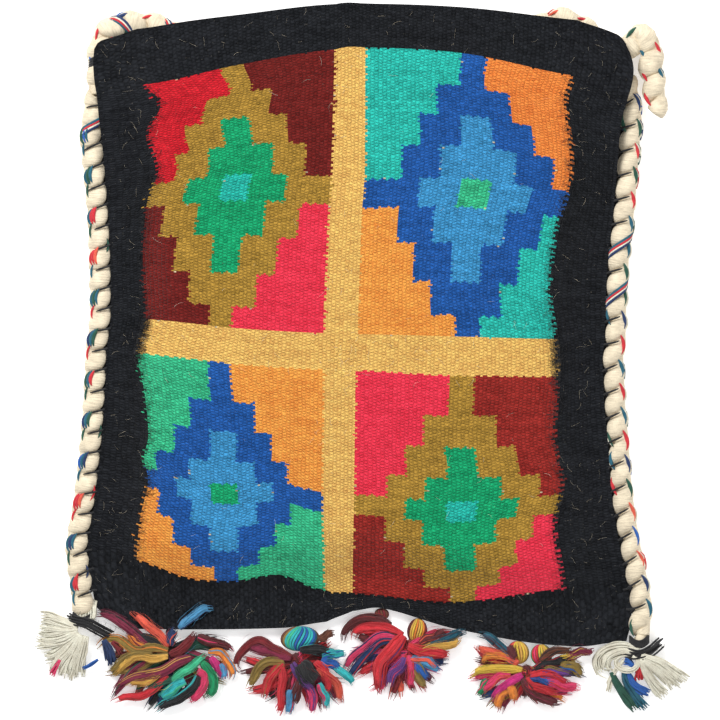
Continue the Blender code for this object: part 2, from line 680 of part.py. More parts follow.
def make_bead(name, x, half_width, half_length, wool):
    """A core wound with yarn, lying against the base's edge. Returns its lower end."""
    shares = [k / 8 for k in range(-8, 9)]
    y = min(base_edge_y(x + half_width * k) - half_length * math.sqrt(1 - k * k) for k in shares) - GAP
    middle = Vector((x, y, BEAD_FLATTENING * min(half_length, half_width)))
    work = bmesh.new()
    bmesh.ops.create_uvsphere(work, u_segments=BEAD_SEGMENTS, v_segments=BEAD_RINGS, radius=1)
    bmesh.ops.rotate(work, verts=work.verts, matrix=Matrix.Rotation(math.pi / 2, 3, "X"))
    bmesh.ops.scale(work, verts=work.verts, vec=(half_width, half_length, middle.z))
    bmesh.ops.translate(work, verts=work.verts, vec=middle)
    mesh = bpy.data.meshes.new(name)
    work.to_mesh(mesh)
    work.free()
    mesh.materials.append(material(wool))
    mesh.shade_smooth()
    made = bpy.data.objects.new(name, mesh)
    bpy.context.collection.objects.link(made)
    return middle - Vector((0, half_length, 0))


def make_hanger():
    """The short yarn that hangs the left tassel from the base."""
    x, middle_y = tassel_middle(0)
    top = base_edge_y(x) - GAP
    up_reach = [reach for angle, reach in TASSEL_STRANDS[0] if angle == 90][0] * MM
    bottom = middle_y + up_reach + GAP
    path = [Vector((x, top, 2 * HANGER_RADIUS)), Vector((x, bottom, 2 * HANGER_RADIUS))]
    points, faces = swept(path, lambda i: circle(HANGER_RADIUS, 8))
    return add_object("tassel_1_hanger", points, faces, ["orange_wool"])


def main():
    for old in list(bpy.data.objects):
        bpy.data.objects.remove(old)
    make_pouch()
    make_edge_rope("left_edge_rope", -1, LEFT_FRINGE)
    make_edge_rope("right_edge_rope", 1, RIGHT_FRINGE)
    make_whipping("left_rope_whipping", rope_end(-1))
    make_whipping("right_rope_whipping", rope_end(1))
    make_strap()
    knots = {name: make_bead(name, *bead) for name, bead in BEADS.items()}
    for number, hung_from in enumerate(TASSEL_BEADS):
        make_tassel(number, [knots[name] for name in hung_from])
    make_hanger()


main()
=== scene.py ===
# %% [markdown]
# # A woven wool shoulder bag, seen flat from above
#
# The bag is one length of thick kilim cloth, folded into a pouch and sewn up along both sides to a fat wound
# cotton rope. The rope runs on as the strap, which lies tucked beneath the pouch. The scene starts from the
# solids of the CAD model and dresses each of them with its own wool, cotton and thread.

import math

import bmesh
import bpy
import numpy as np
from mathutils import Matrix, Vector


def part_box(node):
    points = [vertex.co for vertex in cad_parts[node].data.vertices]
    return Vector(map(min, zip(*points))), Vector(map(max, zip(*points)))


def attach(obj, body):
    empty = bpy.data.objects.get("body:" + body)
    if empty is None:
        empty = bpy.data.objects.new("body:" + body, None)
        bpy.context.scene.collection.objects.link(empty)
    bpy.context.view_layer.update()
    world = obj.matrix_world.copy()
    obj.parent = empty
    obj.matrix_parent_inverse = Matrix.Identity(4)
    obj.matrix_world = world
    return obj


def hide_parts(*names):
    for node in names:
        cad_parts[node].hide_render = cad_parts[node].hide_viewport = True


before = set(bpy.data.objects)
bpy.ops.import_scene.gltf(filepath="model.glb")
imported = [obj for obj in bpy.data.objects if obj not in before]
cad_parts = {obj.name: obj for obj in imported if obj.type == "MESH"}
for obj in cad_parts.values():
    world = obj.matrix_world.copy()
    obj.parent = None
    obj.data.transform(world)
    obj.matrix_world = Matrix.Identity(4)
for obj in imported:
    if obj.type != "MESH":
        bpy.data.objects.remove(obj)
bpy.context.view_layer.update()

MM = 0.001
rng = np.random.default_rng(7)

# %% [markdown]
# ## Camera, table and light
#
# The photograph looks straight down on the bag, as it lies on a white table. One pixel of it is 0.6 mm of the
# bag, so a level camera without perspective, 432 mm wide, frames the same picture. A long lens from high up
# would do nearly the same, but then raised parts would shift outward, and the picture would not lie exactly
# over the photograph.

# %% Camera
MM_PER_PIXEL = 0.6
PHOTO_PIXEL = MM_PER_PIXEL * MM
camera_data = bpy.data.cameras.new("camera")
camera_data.type = "ORTHO"
camera_data.ortho_scale = 720 * PHOTO_PIXEL
camera = bpy.data.objects.new("camera", camera_data)
camera.location = (-0.5 * PHOTO_PIXEL, 0.5 * PHOTO_PIXEL, 1.2)
bpy.context.collection.objects.link(camera)
scene = bpy.context.scene
scene.camera = camera
scene.view_settings.view_transform = "Standard"

print("picture width in mm:", round(camera_data.ortho_scale * 1000))

# %% [markdown]
# The table is a pale sheet that glows a little, so that it shows as white and still takes the bag's shadow.
# A sky picture could light the bag, but two soft square lamps and an even world are plainer: the stronger
# lamp, from the top left, brings out the ribs, and the wider one opens the shadows.

# %% Table and lamps
table_mesh = bpy.data.meshes.new("table")
table_mesh.from_pydata([(-3, -3, 0), (3, -3, 0), (3, 3, 0), (-3, 3, 0)], [], [(0, 1, 2, 3)])
table = bpy.data.objects.new("table", table_mesh)
table.location.z = -0.0002
bpy.context.collection.objects.link(table)

table_look = bpy.data.materials.new("table")
table_look.use_nodes = True
nodes, links = table_look.node_tree.nodes, table_look.node_tree.links
surface = nodes["Principled BSDF"]
surface.inputs["Base Color"].default_value = (0.9, 0.9, 0.9, 1)
surface.inputs["Roughness"].default_value = 0.8
glow = nodes.new("ShaderNodeEmission")
glow.inputs["Color"].default_value = (1, 1, 1, 1)
glow.inputs["Strength"].default_value = 0.42
both = nodes.new("ShaderNodeAddShader")
links.new(surface.outputs["BSDF"], both.inputs[0])
links.new(glow.outputs["Emission"], both.inputs[1])
links.new(both.outputs["Shader"], nodes["Material Output"].inputs["Surface"])
table_mesh.materials.append(table_look)


def add_lamp(name, place, size, power):
    """A square soft lamp that looks at the middle of the bag."""
    data = bpy.data.lights.new(name, "AREA")
    data.size = size
    data.energy = power
    lamp = bpy.data.objects.new(name, data)
    lamp.location = place
    lamp.rotation_euler = (-Vector(place)).to_track_quat("-Z", "Y").to_euler()
    bpy.context.collection.objects.link(lamp)
    return lamp


key = add_lamp("key", (-0.5, 0.9, 1.3), 0.7, 24.5)
fill = add_lamp("fill", (0.9, -0.6, 1.5), 1.6, 10)
world = bpy.data.worlds.new("studio")
scene.world = world
world.use_nodes = True
world.node_tree.nodes["Background"].inputs["Color"].default_value = (1, 1, 1, 1)
world.node_tree.nodes["Background"].inputs["Strength"].default_value = 0.49
print("lamps:", key.name, fill.name)

# %% [markdown]
# ## Wool, cotton and thread
#
# Everything on the bag is spun fibre, so one family of finishes serves all of it: a dyed colour that varies a
# little from fibre to fibre, a rough surface with a soft sheen, and a relief. A picture of cloth could be
# wrapped round the mesh, but it would blur close up and repeat, so the finishes are built from noise and
# sums. These helpers each add one node, so that a finish reads like a recipe.


# %% Finish helpers
def new_material(name):
    """A material, its node tree and its surface node."""
    look = bpy.data.materials.new(name)
    look.use_nodes = True
    tree = look.node_tree
    return look, tree, tree.nodes["Principled BSDF"]


def math_node(tree, operation, first, second=None):
    """One sum. Numbers are set on the sockets, and anything else is linked to them."""
    node = tree.nodes.new("ShaderNodeMath")
    node.operation = operation
    for socket, value in zip(node.inputs, (first, second)):
        if value is None:
            continue
        if isinstance(value, (int, float)):
            socket.default_value = value
        else:
            tree.links.new(value, socket)
    return node.outputs[0]


def noise_node(tree, vector, scale, detail=3.0):
    """Soft noise, the source of all unevenness in the wool."""
    node = tree.nodes.new("ShaderNodeTexNoise")
    node.inputs["Scale"].default_value = scale
    node.inputs["Detail"].default_value = detail
    tree.links.new(vector, node.inputs["Vector"])
    return node.outputs["Fac"]


def scaled_vector(tree, vector, factors):
    """A place stretched by three factors, which turns round noise into streaks."""
    node = tree.nodes.new("ShaderNodeVectorMath")
    node.operation = "MULTIPLY"
    node.inputs[1].default_value = factors
    tree.links.new(vector, node.inputs[0])
    return node.outputs[0]


def mixed_colour(tree, share, dark, light):
    """A colour between two others. Each is a set colour or another node's."""
    node = tree.nodes.new("ShaderNodeMix")
    node.data_type = "RGBA"
    tree.links.new(share, node.inputs["Factor"])
    for name, value in (("A", dark), ("B", light)):
        socket = [s for s in node.inputs if s.name == name and s.type == "RGBA"][0]
        if isinstance(value, tuple):
            socket.default_value = (*value, 1)
        else:
            tree.links.new(value, socket)
    return [s for s in node.outputs if s.type == "RGBA"][0]


def spread(tree, value, low, high):
    """Stretches a value so that low becomes 0 and high becomes 1."""
    node = tree.nodes.new("ShaderNodeMapRange")
    node.inputs["From Min"].default_value = low
    node.inputs["From Max"].default_value = high
    tree.links.new(value, node.inputs["Value"])
    return node.outputs["Result"]


def linear(colour):
    """An 8-bit display colour as linear light."""
    shares = [value / 255 for value in colour]
    return tuple(v / 12.92 if v <= 0.04045 else ((v + 0.055) / 1.055) ** 2.4 for v in shares)


def tinted(colour, factor, lift=0.0):
    """A colour made darker or lighter, and lifted off black."""
    return tuple(min(1.0, value * factor + lift) for value in colour)


print("mid grey as linear light:", round(linear((128, 128, 128))[0], 3))


# %% [markdown]
# In weft-faced cloth the dyed weft covers the warp, and shows as rows of small round beads. The beads of one
# warp rib sit half a bead lower than those of the next. Real beads would take millions of faces, so only the
# ribs are mesh, and each bead is a dome in the finish. The map named weave counts ribs across and beads down,
# and each bead takes its own shade from that count, as hand-dyed wool has. The finish's ribs are 2.5 mm wide,
# a little finer than the 2.9 mm of the mesh, so the two reliefs overlay each other and do not line up.


# %% Cloth finish
RIB = 0.0025
BEAD = 0.0018


def cloth_material(name, colour, dark=0.52, light=1.62, lift=0.012, sheen=0.10):
    """Dyed wool in a weft-faced weave."""
    look, tree, surface = new_material(name)
    base = linear(colour)
    place = tree.nodes.new("ShaderNodeTexCoord").outputs["Object"]
    weave = tree.nodes.new("ShaderNodeUVMap")
    weave.uv_map = "weave"
    wander = tree.nodes.new("ShaderNodeTexNoise")
    wander.inputs["Scale"].default_value = 260.0
    wander.inputs["Detail"].default_value = 2.0
    tree.links.new(place, wander.inputs["Vector"])
    shifted = tree.nodes.new("ShaderNodeVectorMath")
    shifted.operation = "MULTIPLY_ADD"
    shifted.inputs[1].default_value = (0.9, 1.3, 0.0)
    tree.links.new(wander.outputs["Color"], shifted.inputs[0])
    tree.links.new(weave.outputs["UV"], shifted.inputs[2])
    apart = tree.nodes.new("ShaderNodeSeparateXYZ")
    tree.links.new(shifted.outputs[0], apart.inputs[0])
    across, down = apart.outputs[0], apart.outputs[1]
    rib = math_node(tree, "FLOOR", across)
    odd = math_node(tree, "MODULO", rib, 2.0)
    lowered = math_node(tree, "ADD", down, math_node(tree, "MULTIPLY", odd, 0.5))

    def dome(phase):
        centred = math_node(tree, "SUBTRACT", math_node(tree, "MULTIPLY", phase, 2.0), 1.0)
        fall = math_node(tree, "POWER", math_node(tree, "ABSOLUTE", centred), 2.2)
        return math_node(tree, "SUBTRACT", 1.0, fall)

    domes = [dome(math_node(tree, "FRACT", count)) for count in (across, lowered)]
    bead = math_node(tree, "MULTIPLY", *domes)
    which = tree.nodes.new("ShaderNodeCombineXYZ")
    tree.links.new(rib, which.inputs[0])
    tree.links.new(math_node(tree, "FLOOR", lowered), which.inputs[1])
    own = tree.nodes.new("ShaderNodeTexWhiteNoise")
    own.noise_dimensions = "2D"
    tree.links.new(which.outputs[0], own.inputs["Vector"])
    turned = tree.nodes.new("ShaderNodeMapping")
    turned.inputs["Rotation"].default_value = (0.0, 0.0, math.radians(-38))
    tree.links.new(place, turned.inputs["Vector"])
    fibres = noise_node(tree, scaled_vector(tree, turned.outputs[0], (750.0, 3000.0, 900.0)), 1.0, 2.0)
    patches = noise_node(tree, place, 70.0, 4.0)
    specks = noise_node(tree, place, 900.0, 2.0)
    shade = tree.nodes.new("ShaderNodeAttribute")
    shade.attribute_name = "shade"
    # The bead's dome in the colour is painted shade: lighter bead tops, darker wool between the beads.
    tone = math_node(tree, "ADD", math_node(tree, "MULTIPLY", bead, 0.34), shade.outputs["Fac"])
    for value, weight in ((own.outputs["Value"], 0.38), (fibres, 0.85), (patches, 0.50)):
        tone = math_node(tree, "ADD", tone, math_node(tree, "MULTIPLY", value, weight))
    body = mixed_colour(tree, spread(tree, tone, 0.66, 1.70), tinted(base, dark), tinted(base, light, lift))
    lint = math_node(tree, "MULTIPLY", spread(tree, specks, 0.70, 0.78), 0.22)
    tree.links.new(mixed_colour(tree, lint, body, (0.62, 0.56, 0.46)), surface.inputs["Base Color"])
    surface.inputs["Roughness"].default_value = 0.92
    surface.inputs["Specular IOR Level"].default_value = 0.06
    surface.inputs["Sheen Weight"].default_value = sheen
    surface.inputs["Sheen Roughness"].default_value = 0.5
    bump = tree.nodes.new("ShaderNodeBump")
    bump.inputs["Distance"].default_value = 0.0008
    bump.inputs["Strength"].default_value = 1.0
    height = math_node(tree, "ADD", bead, math_node(tree, "MULTIPLY", fibres, 0.7))
    tree.links.new(height, bump.inputs["Height"])
    tree.links.new(bump.outputs["Normal"], surface.inputs["Normal"])
    return look


print("rib and bead in mm:", RIB * 1000, BEAD * 1000)

# %% [markdown]
# Fifteen dyes and one undyed lint make the whole front. Each has a plain name and a display colour, changed
# until the lit cloth looked like the photograph. Colours picked straight from a photograph would
# already hold its light. Bright wools get paler shadows between their beads, and black gets deeper ones.

# %% The wools
WOOLS = {
    "black": (25, 27, 31),
    "red": (188, 17, 33),
    "rose": (239, 44, 67),
    "maroon": (103, 17, 12),
    "brick": (142, 33, 26),
    "olive": (161, 124, 45),
    "gold": (236, 170, 90),
    "green": (2, 151, 97),
    "aqua": (28, 174, 158),
    "sea": (33, 175, 160),
    "royal": (20, 80, 153),
    "sky": (54, 137, 188),
    "orange": (252, 142, 60),
    "tangerine": (246, 122, 52),
    "mint": (48, 174, 125),
    "lint": (186, 172, 140),
}
BRIGHT = ("red", "rose", "gold", "orange", "tangerine")
wool = {
    name: cloth_material(f"wool_{name}", colour, dark=0.68 if name in BRIGHT else 0.52)
    for name, colour in WOOLS.items() if name != "black"
}
wool["black"] = cloth_material("wool_black", WOOLS["black"], dark=0.35, light=1.9, lift=0.006, sheen=0.03)
print("wools:", ", ".join(wool))


# %% [markdown]
# Rope and tassels are spun yarn, whose fibres slant round the strand with its twist. Hair strands could show
# each fibre, but are no plain mesh. So the map named spun counts millimetres along a strand and the turn
# round it, and the finish draws slanted fibres on that.


# %% Yarn finish
def yarn_material(name, colour, slant=0.7, dark=0.6, light=1.2, lift=0.03, relief=0.0006):
    """Spun fibre: fine strands that slant round a yarn, in slightly different shades."""
    look, tree, surface = new_material(name)
    base = linear(colour)
    spun = tree.nodes.new("ShaderNodeUVMap")
    spun.uv_map = "spun"
    apart = tree.nodes.new("ShaderNodeSeparateXYZ")
    tree.links.new(spun.outputs["UV"], apart.inputs[0])
    along, turn = apart.outputs[0], apart.outputs[1]
    sloped = math_node(tree, "ADD", turn, math_node(tree, "MULTIPLY", along, slant * 0.05))
    joined = tree.nodes.new("ShaderNodeCombineXYZ")
    tree.links.new(math_node(tree, "MULTIPLY", along, 0.12), joined.inputs[0])
    tree.links.new(math_node(tree, "MULTIPLY", sloped, 9.0), joined.inputs[1])
    fibres = noise_node(tree, joined.outputs[0], 3.0, 3.0)
    place = tree.nodes.new("ShaderNodeTexCoord").outputs["Object"]
    patches = noise_node(tree, place, 160.0, 3.0)
    fuzz = noise_node(tree, place, 1500.0, 2.0)
    tone = math_node(tree, "ADD", fibres, math_node(tree, "MULTIPLY", patches, 0.6))
    tone = math_node(tree, "ADD", tone, math_node(tree, "MULTIPLY", fuzz, 0.35))
    shades = tinted(base, dark), tinted(base, light, lift)
    tree.links.new(mixed_colour(tree, spread(tree, tone, 0.6, 1.3), *shades), surface.inputs["Base Color"])
    surface.inputs["Roughness"].default_value = 0.9
    surface.inputs["Specular IOR Level"].default_value = 0.08
    surface.inputs["Sheen Weight"].default_value = 0.12
    surface.inputs["Sheen Roughness"].default_value = 0.6
    bump = tree.nodes.new("ShaderNodeBump")
    bump.inputs["Distance"].default_value = relief
    bump.inputs["Strength"].default_value = 0.8
    height = math_node(tree, "ADD", fibres, math_node(tree, "MULTIPLY", fuzz, 0.4))
    tree.links.new(height, bump.inputs["Height"])
    tree.links.new(bump.outputs["Normal"], surface.inputs["Normal"])
    return look


print("yarn finish: fibres along the map named spun")

# %% [markdown]
# The rope is cream cotton with ivory and coloured yarns in it, and the tassels use up the ends of every dye.
# One list of names serves both, so that a lock or a stitch can be asked for by its colour.

# %% The yarns
YARNS = {
    "cream": (234, 218, 190),
    "ivory": (255, 241, 215),
    "black": (20, 20, 24),
    "teal": (22, 96, 118),
    "navy": (24, 52, 100),
    "blue": (32, 96, 180),
    "dark_green": (28, 84, 66),
    "green": (10, 150, 96),
    "mint": (70, 200, 150),
    "turquoise": (48, 186, 190),
    "red": (212, 40, 52),
    "coral": (240, 96, 72),
    "pink": (232, 60, 110),
    "magenta": (214, 40, 130),
    "dark_red": (128, 26, 34),
    "maroon": (96, 26, 30),
    "orange": (244, 140, 52),
    "yellow": (246, 200, 70),
    "gold": (226, 176, 80),
    "olive": (150, 124, 56),
    "purple": (110, 60, 140),
    "brown": (112, 62, 40),
    "wine": (134, 34, 66),
    "sky": (84, 160, 206),
}
yarn = {name: yarn_material(f"yarn_{name}", colour) for name, colour in YARNS.items()}
print("yarns:", len(yarn))

# %% [markdown]
# ## The shape of the cloth
#
# The cloth is a grid of warp ribs and weft rows. Six lines cross it each way: its edges and the sides of the
# colour bands. Each line is straight on the loom and has crept by a few millimetres since, as the bow lists
# say. A cloth simulation could let it settle, but it would move the pattern away from the real bag's, and
# these lines hold both the outline and the pattern.

# %% The lines of the cloth
# The cloth's thickness, and how far front and back stand apart in the middle and along the sewing.
CLOTH = 0.0028
LOFT = 0.0065
SEAM_LOFT = 0.0006
ROPE_DIAMETER = 0.0140
ROPE_RADIUS = ROPE_DIAMETER / 2
# How high the cloth lies over the strap.
LIFT = ROPE_DIAMETER + 0.0003
# Where the lines lie, in metres, and the bow of each, as (place along it, millimetres).
COLUMN_LINES = (-0.150, -0.128, -0.01825, 0.00025, 0.128, 0.150)
ROW_LINES = (0.214, 0.188, 0.016, -0.005, -0.139, -0.152)
COLUMN_BOWS = (
    ((0, -8.1), (0.5, -8.7), (1, -6.6), (1.27, -2.8), (1.6, 0.7), (2, 1.8), (3, -0.7),
     (3.4, -3.2), (3.8, -8.5), (4, -12.5), (5, -7.5)),
    ((0, -6.7), (1, -1.3), (1.09, 7.7), (1.23, 0.5), (1.39, 6.5), (1.51, 0), (1.75, -3.1),
     (2, -1.3), (3, -6.1), (3.2, -1.9), (3.4, 0.2), (3.5, -2.2), (3.62, 0), (3.8, -4.9), (4, -6.7),
     (5, -4.3)),
    ((0, 3.6), (1, 3.6), (1.4, 1.7), (1.6, -0.4), (2, -3.0), (3, -3.4), (3.6, -4.2), (4, -3.0), (5, -2.4)),
    ((0, 2.4), (1.4, 2.4), (1.6, 0.4), (2, -1.8), (3, -3.2), (3.6, -4.2), (4, -5.0), (5, -4.8)),
    ((0, 1.9), (1, -0.5), (1.09, -4.7), (1.32, -1.1), (1.43, -2.3), (1.6, -10.7), (1.84, -14.3),
     (2, -10.7), (3, -9.5), (3.3, -11.3), (3.5, -6.8), (3.7, -11.6), (4, -6.2), (5, -4.1)),
    ((0, 9.3), (0.5, 12.3), (1, 8.7), (1.09, 5.0), (1.27, 2.7), (1.5, -0.3), (1.7, -3.4), (2, -5.0),
     (2.5, -6.3), (3.1, -5.4), (3.3, -3.3), (3.56, -0.9), (3.8, 3.6), (4, 8.3), (4.6, 11.0), (5, 8.0)),
)
ROW_BOWS = (
    ((0, -22.9), (1, -15.1), (1.26, -10.3), (1.5, -6.7), (2, -0.1), (3, 0.2), (3.48, -2.2),
     (4, -9.7), (4.8, -18.1), (5, -24.1)),
    ((0, -28.7), (1, -22.1), (1.5, -10.1), (2, -1.1), (3, 0.1), (3.48, -3.5), (4, -16.7), (5, -30.5)),
    ((0, 10.7), (1, 8.3), (1.5, 2.9), (2, -0.1), (3, -0.7), (4, -3.7), (5, -4.9)),
    ((0, 12.5), (1, 9.5), (1.5, 3.5), (2, -0.1), (3, -0.7), (3.48, -3.7), (5, -4.9)),
    ((0, 26.5), (1, 18.7), (1.26, 8.5), (1.5, 6.1), (1.76, 9.7), (2, 0.7), (3, -1.1),
     (3.48, -6.5), (4, 1.3), (5, 4.9)),
    ((0, 4.7), (0.4, -6.0), (1, -9.1), (1.76, -8.5), (2, -4.9), (3, 1.7), (3.13, 3.5), (3.48, -9.1),
     (4, -19.3), (5, -16.3)),
)
# The rows in the middle of the upper field have crept up by this many millimetres, along the columns.
MIDDLE_DRIFT = ((0, 0), (1, 4), (1.5, 5.6), (2, 0.5), (3, -1.5), (3.5, 1.6), (4, 2.1), (5, 0))
# How far the sewing pulls the cloth's edge outward, and the round corners of the mouth.
EDGE_LAP = 0.0016
CORNER_ROUND = 0.005

print("lines of the cloth:", len(COLUMN_LINES), "columns,", len(ROW_LINES), "rows")

# %% [markdown]
# A bow is a smooth curve through a few places, and a point between two lines lies between their curves. A
# curve object could carry each line, but a short formula reads at thousands of places at once.

# %% Where a line of the cloth runs
def smooth(low, high, value):
    """0 below low, 1 above high, and a soft step between them."""
    share = np.clip((value - low) / (high - low), 0, 1)
    return share * share * (3 - 2 * share)


def along(points, at):
    """A smooth curve through (place, value) points, read at an array of places."""
    xs, ys = (np.array([p[k] for p in points], float) for k in (0, 1))
    at = np.clip(at, xs[0], xs[-1])
    last = len(xs) - 1
    ends = np.minimum(np.arange(last + 1) + 1, last)
    starts = np.maximum(np.arange(last + 1) - 1, 0)
    slopes = (ys[ends] - ys[starts]) / (xs[ends] - xs[starts])
    here = np.clip(np.searchsorted(xs, at, side="right") - 1, 0, last - 1)
    span = xs[here + 1] - xs[here]
    t = (at - xs[here]) / span
    return (
        (2 * t**3 - 3 * t**2 + 1) * ys[here]
        + (t**3 - 2 * t**2 + t) * span * slopes[here]
        + (3 * t**2 - 2 * t**3) * ys[here + 1]
        + (t**3 - t**2) * span * slopes[here + 1]
    )


def between(values, at):
    """Reads stacked values (line first) at a part index, point by point."""
    index = np.clip(at.astype(int), 0, 4)
    picked = np.take_along_axis(values, index[None], 0)[0]
    following = np.take_along_axis(values, index[None] + 1, 0)[0]
    return picked + (following - picked) * (at - index)


def cloth_xy(column, row):
    """Where columns and rows of the cloth cross, for two arrays of one shape."""
    column, row = np.broadcast_arrays(np.asarray(column, float), np.asarray(row, float))
    xs = np.stack([COLUMN_LINES[k] + along(COLUMN_BOWS[k], row) * MM for k in range(6)])
    ys = np.stack([ROW_LINES[k] + along(ROW_BOWS[k], column) * MM for k in range(6)])
    x, y = between(xs, column), between(ys, row)
    in_upper = np.clip(row - 1, 0, 1) * np.clip(2 - row, 0, 1)
    return x, y + along(MIDDLE_DRIFT, column) * MM * 4 * in_upper, xs, ys


print("middle of the cloth in mm:", [round(float(v) * 1000, 1) for v in cloth_xy(2.5, 2.5)[:2]])

# %% [markdown]
# The pouch is raised over the strap in its middle, lower along its sides and flat on the table at its hem,
# with some slack between front and back. Sculpting could do this by hand, but each rise here is one soft step
# that follows the distance from an edge, so front, back and inside always agree.

# %% How the pouch lies
def lie(column, row):
    """Place, height of the underside, and how far front and back stand apart."""
    x, y, xs, ys = cloth_xy(column, row)
    from_side = np.minimum(x - xs[0], xs[5] - x)
    from_base = y - ys[5]
    over_strap = smooth(0, 0.036, from_side)
    over_strap = over_strap + (1 - over_strap) * smooth(0.094, 0.134, y)
    off_hem = smooth(0.012, 0.055, from_base)
    under = off_hem * (ROPE_RADIUS - CLOTH + (LIFT - ROPE_RADIUS + CLOTH) * over_strap)
    loft = smooth(0.011, 0.041, from_side) * smooth(0.006, 0.055, from_base)
    # The sewing pulls the cloth's edge onto the rope, and rounds the mouth's two corners.
    x = x + np.where(x < 0, -1, 1) * EDGE_LAP * (1 - smooth(0, 0.008, from_side))
    corner = np.clip(1 - from_side / CORNER_ROUND, 0, 1) * np.clip(1 - row / 0.4, 0, 1)
    y = y - CORNER_ROUND * (1 - np.sqrt(1 - corner**2))
    return x, y, under, SEAM_LOFT + (LOFT - SEAM_LOFT) * loft


corner_x, corner_y, _, _ = cloth_xy(np.array([0.0, 5.0]), np.array([0.0, 0.0]))
print("mouth corners in mm:", (corner_x * 1000).round(1), (corner_y * 1000).round(1))

# %% [markdown]
# ## Which wool shows where
#
# The weaver counts threads. Each quarter of the field has nine steps; a step of the outer diamond is a share
# of the quarter's width, and the two inner diamonds are the same steps, two and four steps smaller. The
# pattern could be painted on, but a rule that is asked at each bead gives the same stepped edges as the loom.

# %% The pattern
# Half a diamond's width at each step from its tip, as shares of the quarter, and where each step begins.
STEP_HALF_WIDTHS = (0.062, 0.183, 0.275, 0.367, 0.5)
INNER_TIP = 0.075
UPPER_STEPS = (0, 0.12, 0.225, 0.335, 0.45, 0.55, 0.675, 0.81, 0.925, 1)
LOWER_STEPS = (0, 0.18, 0.318, 0.455, 0.555, 0.645, 0.75, 0.86, 0.936, 1)
DIAMONDS = {
    # (left quarter, upper quarter): how its middle wanders down the rows, its wools, and the corners' wools
    (True, True): (((0, 0.452), (0.5, 0.475), (1, 0.415)), ("olive", "green", "aqua"),
                   ("red", "maroon", "maroon", "rose")),
    (False, True): (((0, 0.527), (0.5, 0.551), (1, 0.557)), ("royal", "sky", "mint"),
                    ("sea", "tangerine", "orange", "sea")),
    (True, False): (((0, 0.437), (0.5, 0.434), (1, 0.479)), ("royal", "sky", "green"),
                    ("mint", "orange", "orange", "mint")),
    (False, False): (((0, 0.525), (1, 0.525)), ("olive", "green", "aqua"),
                     ("rose", "brick", "brick", "rose")),
}


def field_colour(column, row):
    """The wool that shows at one place of the front."""
    if not 1 < column < 4 or not 1 < row < 4:
        return "black"
    if 2 < column < 3 or 2 < row < 3:
        return "gold"
    left, upper = column < 2, row < 2
    middle, wools, corners = DIAMONDS[(left, upper)]
    over = column - (1 if left else 3)
    down = row - (1 if upper else 3)
    steps = UPPER_STEPS if upper else LOWER_STEPS
    step = max(i for i in range(9) if steps[i] <= down)
    from_tip = min(step, 8 - step)
    centre = float(along(middle, down))
    for inner, name in ((4, wools[2]), (2, wools[1]), (0, wools[0])):
        if from_tip == 4 and inner == 0:
            return name
        half_width = INNER_TIP if inner and from_tip == inner else STEP_HALF_WIDTHS[from_tip - inner]
        if from_tip >= inner and abs(over - centre) < half_width:
            return name
    return corners[(2 if step > 4 else 0) + (1 if over > centre else 0)]


print("wool in the middle of the upper left diamond:", field_colour(1.45, 1.5))


# %% [markdown]
# ## The pouch
#
# The pouch is one closed skin: a front with two mesh columns for each warp rib, a plainer back, and the two
# inner faces behind the mouth. A flat sheet with a thickness would be quicker, but it could not be open at
# the mouth and shut at its sides. Every second column stands a little higher, so that the ribs are real.

# %% Counts of the weave
CELLS_ACROSS = 212
CELLS_DOWN = 430
RIB_HEIGHT = 0.0004


def row_table(count):
    """Row coordinates that are evenly spaced in length down the middle of the cloth."""
    fine = np.linspace(0, 5, 2001)
    _, y, _, _ = cloth_xy(np.full_like(fine, 2.5), fine)
    length = (y[0] - y) / (y[0] - y[-1])
    return np.interp(np.linspace(0, 1, count + 1), length, fine)


def column_table(count):
    """Column coordinates that are evenly spaced in length across the middle of the cloth."""
    fine = np.linspace(0, 5, 2001)
    x, _, _, _ = cloth_xy(fine, np.full_like(fine, 2.0))
    length = (x - x[0]) / (x[-1] - x[0])
    return np.interp(np.linspace(0, 1, count + 1), length, fine)


def grid_points(columns, rows, height):
    """Points of one face of the cloth."""
    column, row = np.meshgrid(columns, rows, indexing="ij")
    x, y, under, loft = lie(column, row)
    return np.stack([x, y, height(under, loft)], -1)


front_columns, front_rows = column_table(CELLS_ACROSS), row_table(CELLS_DOWN)
grid_counts = (np.arange(CELLS_ACROSS + 1), np.arange(CELLS_DOWN + 1))
across_number, _ = np.meshgrid(*grid_counts, indexing="ij")
wave = (across_number % 2).astype(float) * RIB_HEIGHT + rng.normal(0, 0.00009, across_number.shape)
front = grid_points(front_columns, front_rows, lambda under, loft: under + 2 * CLOTH + loft + wave)
print("front grid:", front.shape[:2])

# %% [markdown]
# Each mesh cell asks the pattern for its wool. Where two colours meet at an upright edge, their wefts turn
# back round neighbouring warps, so the edge is a comb, and it is most ragged along the border. A level edge
# only wavers. A mask with blurred edges would look printed, so each row steps in or out by itself.

# %% Colours of the front
comb = (np.arange(CELLS_DOWN) // 2) % 2


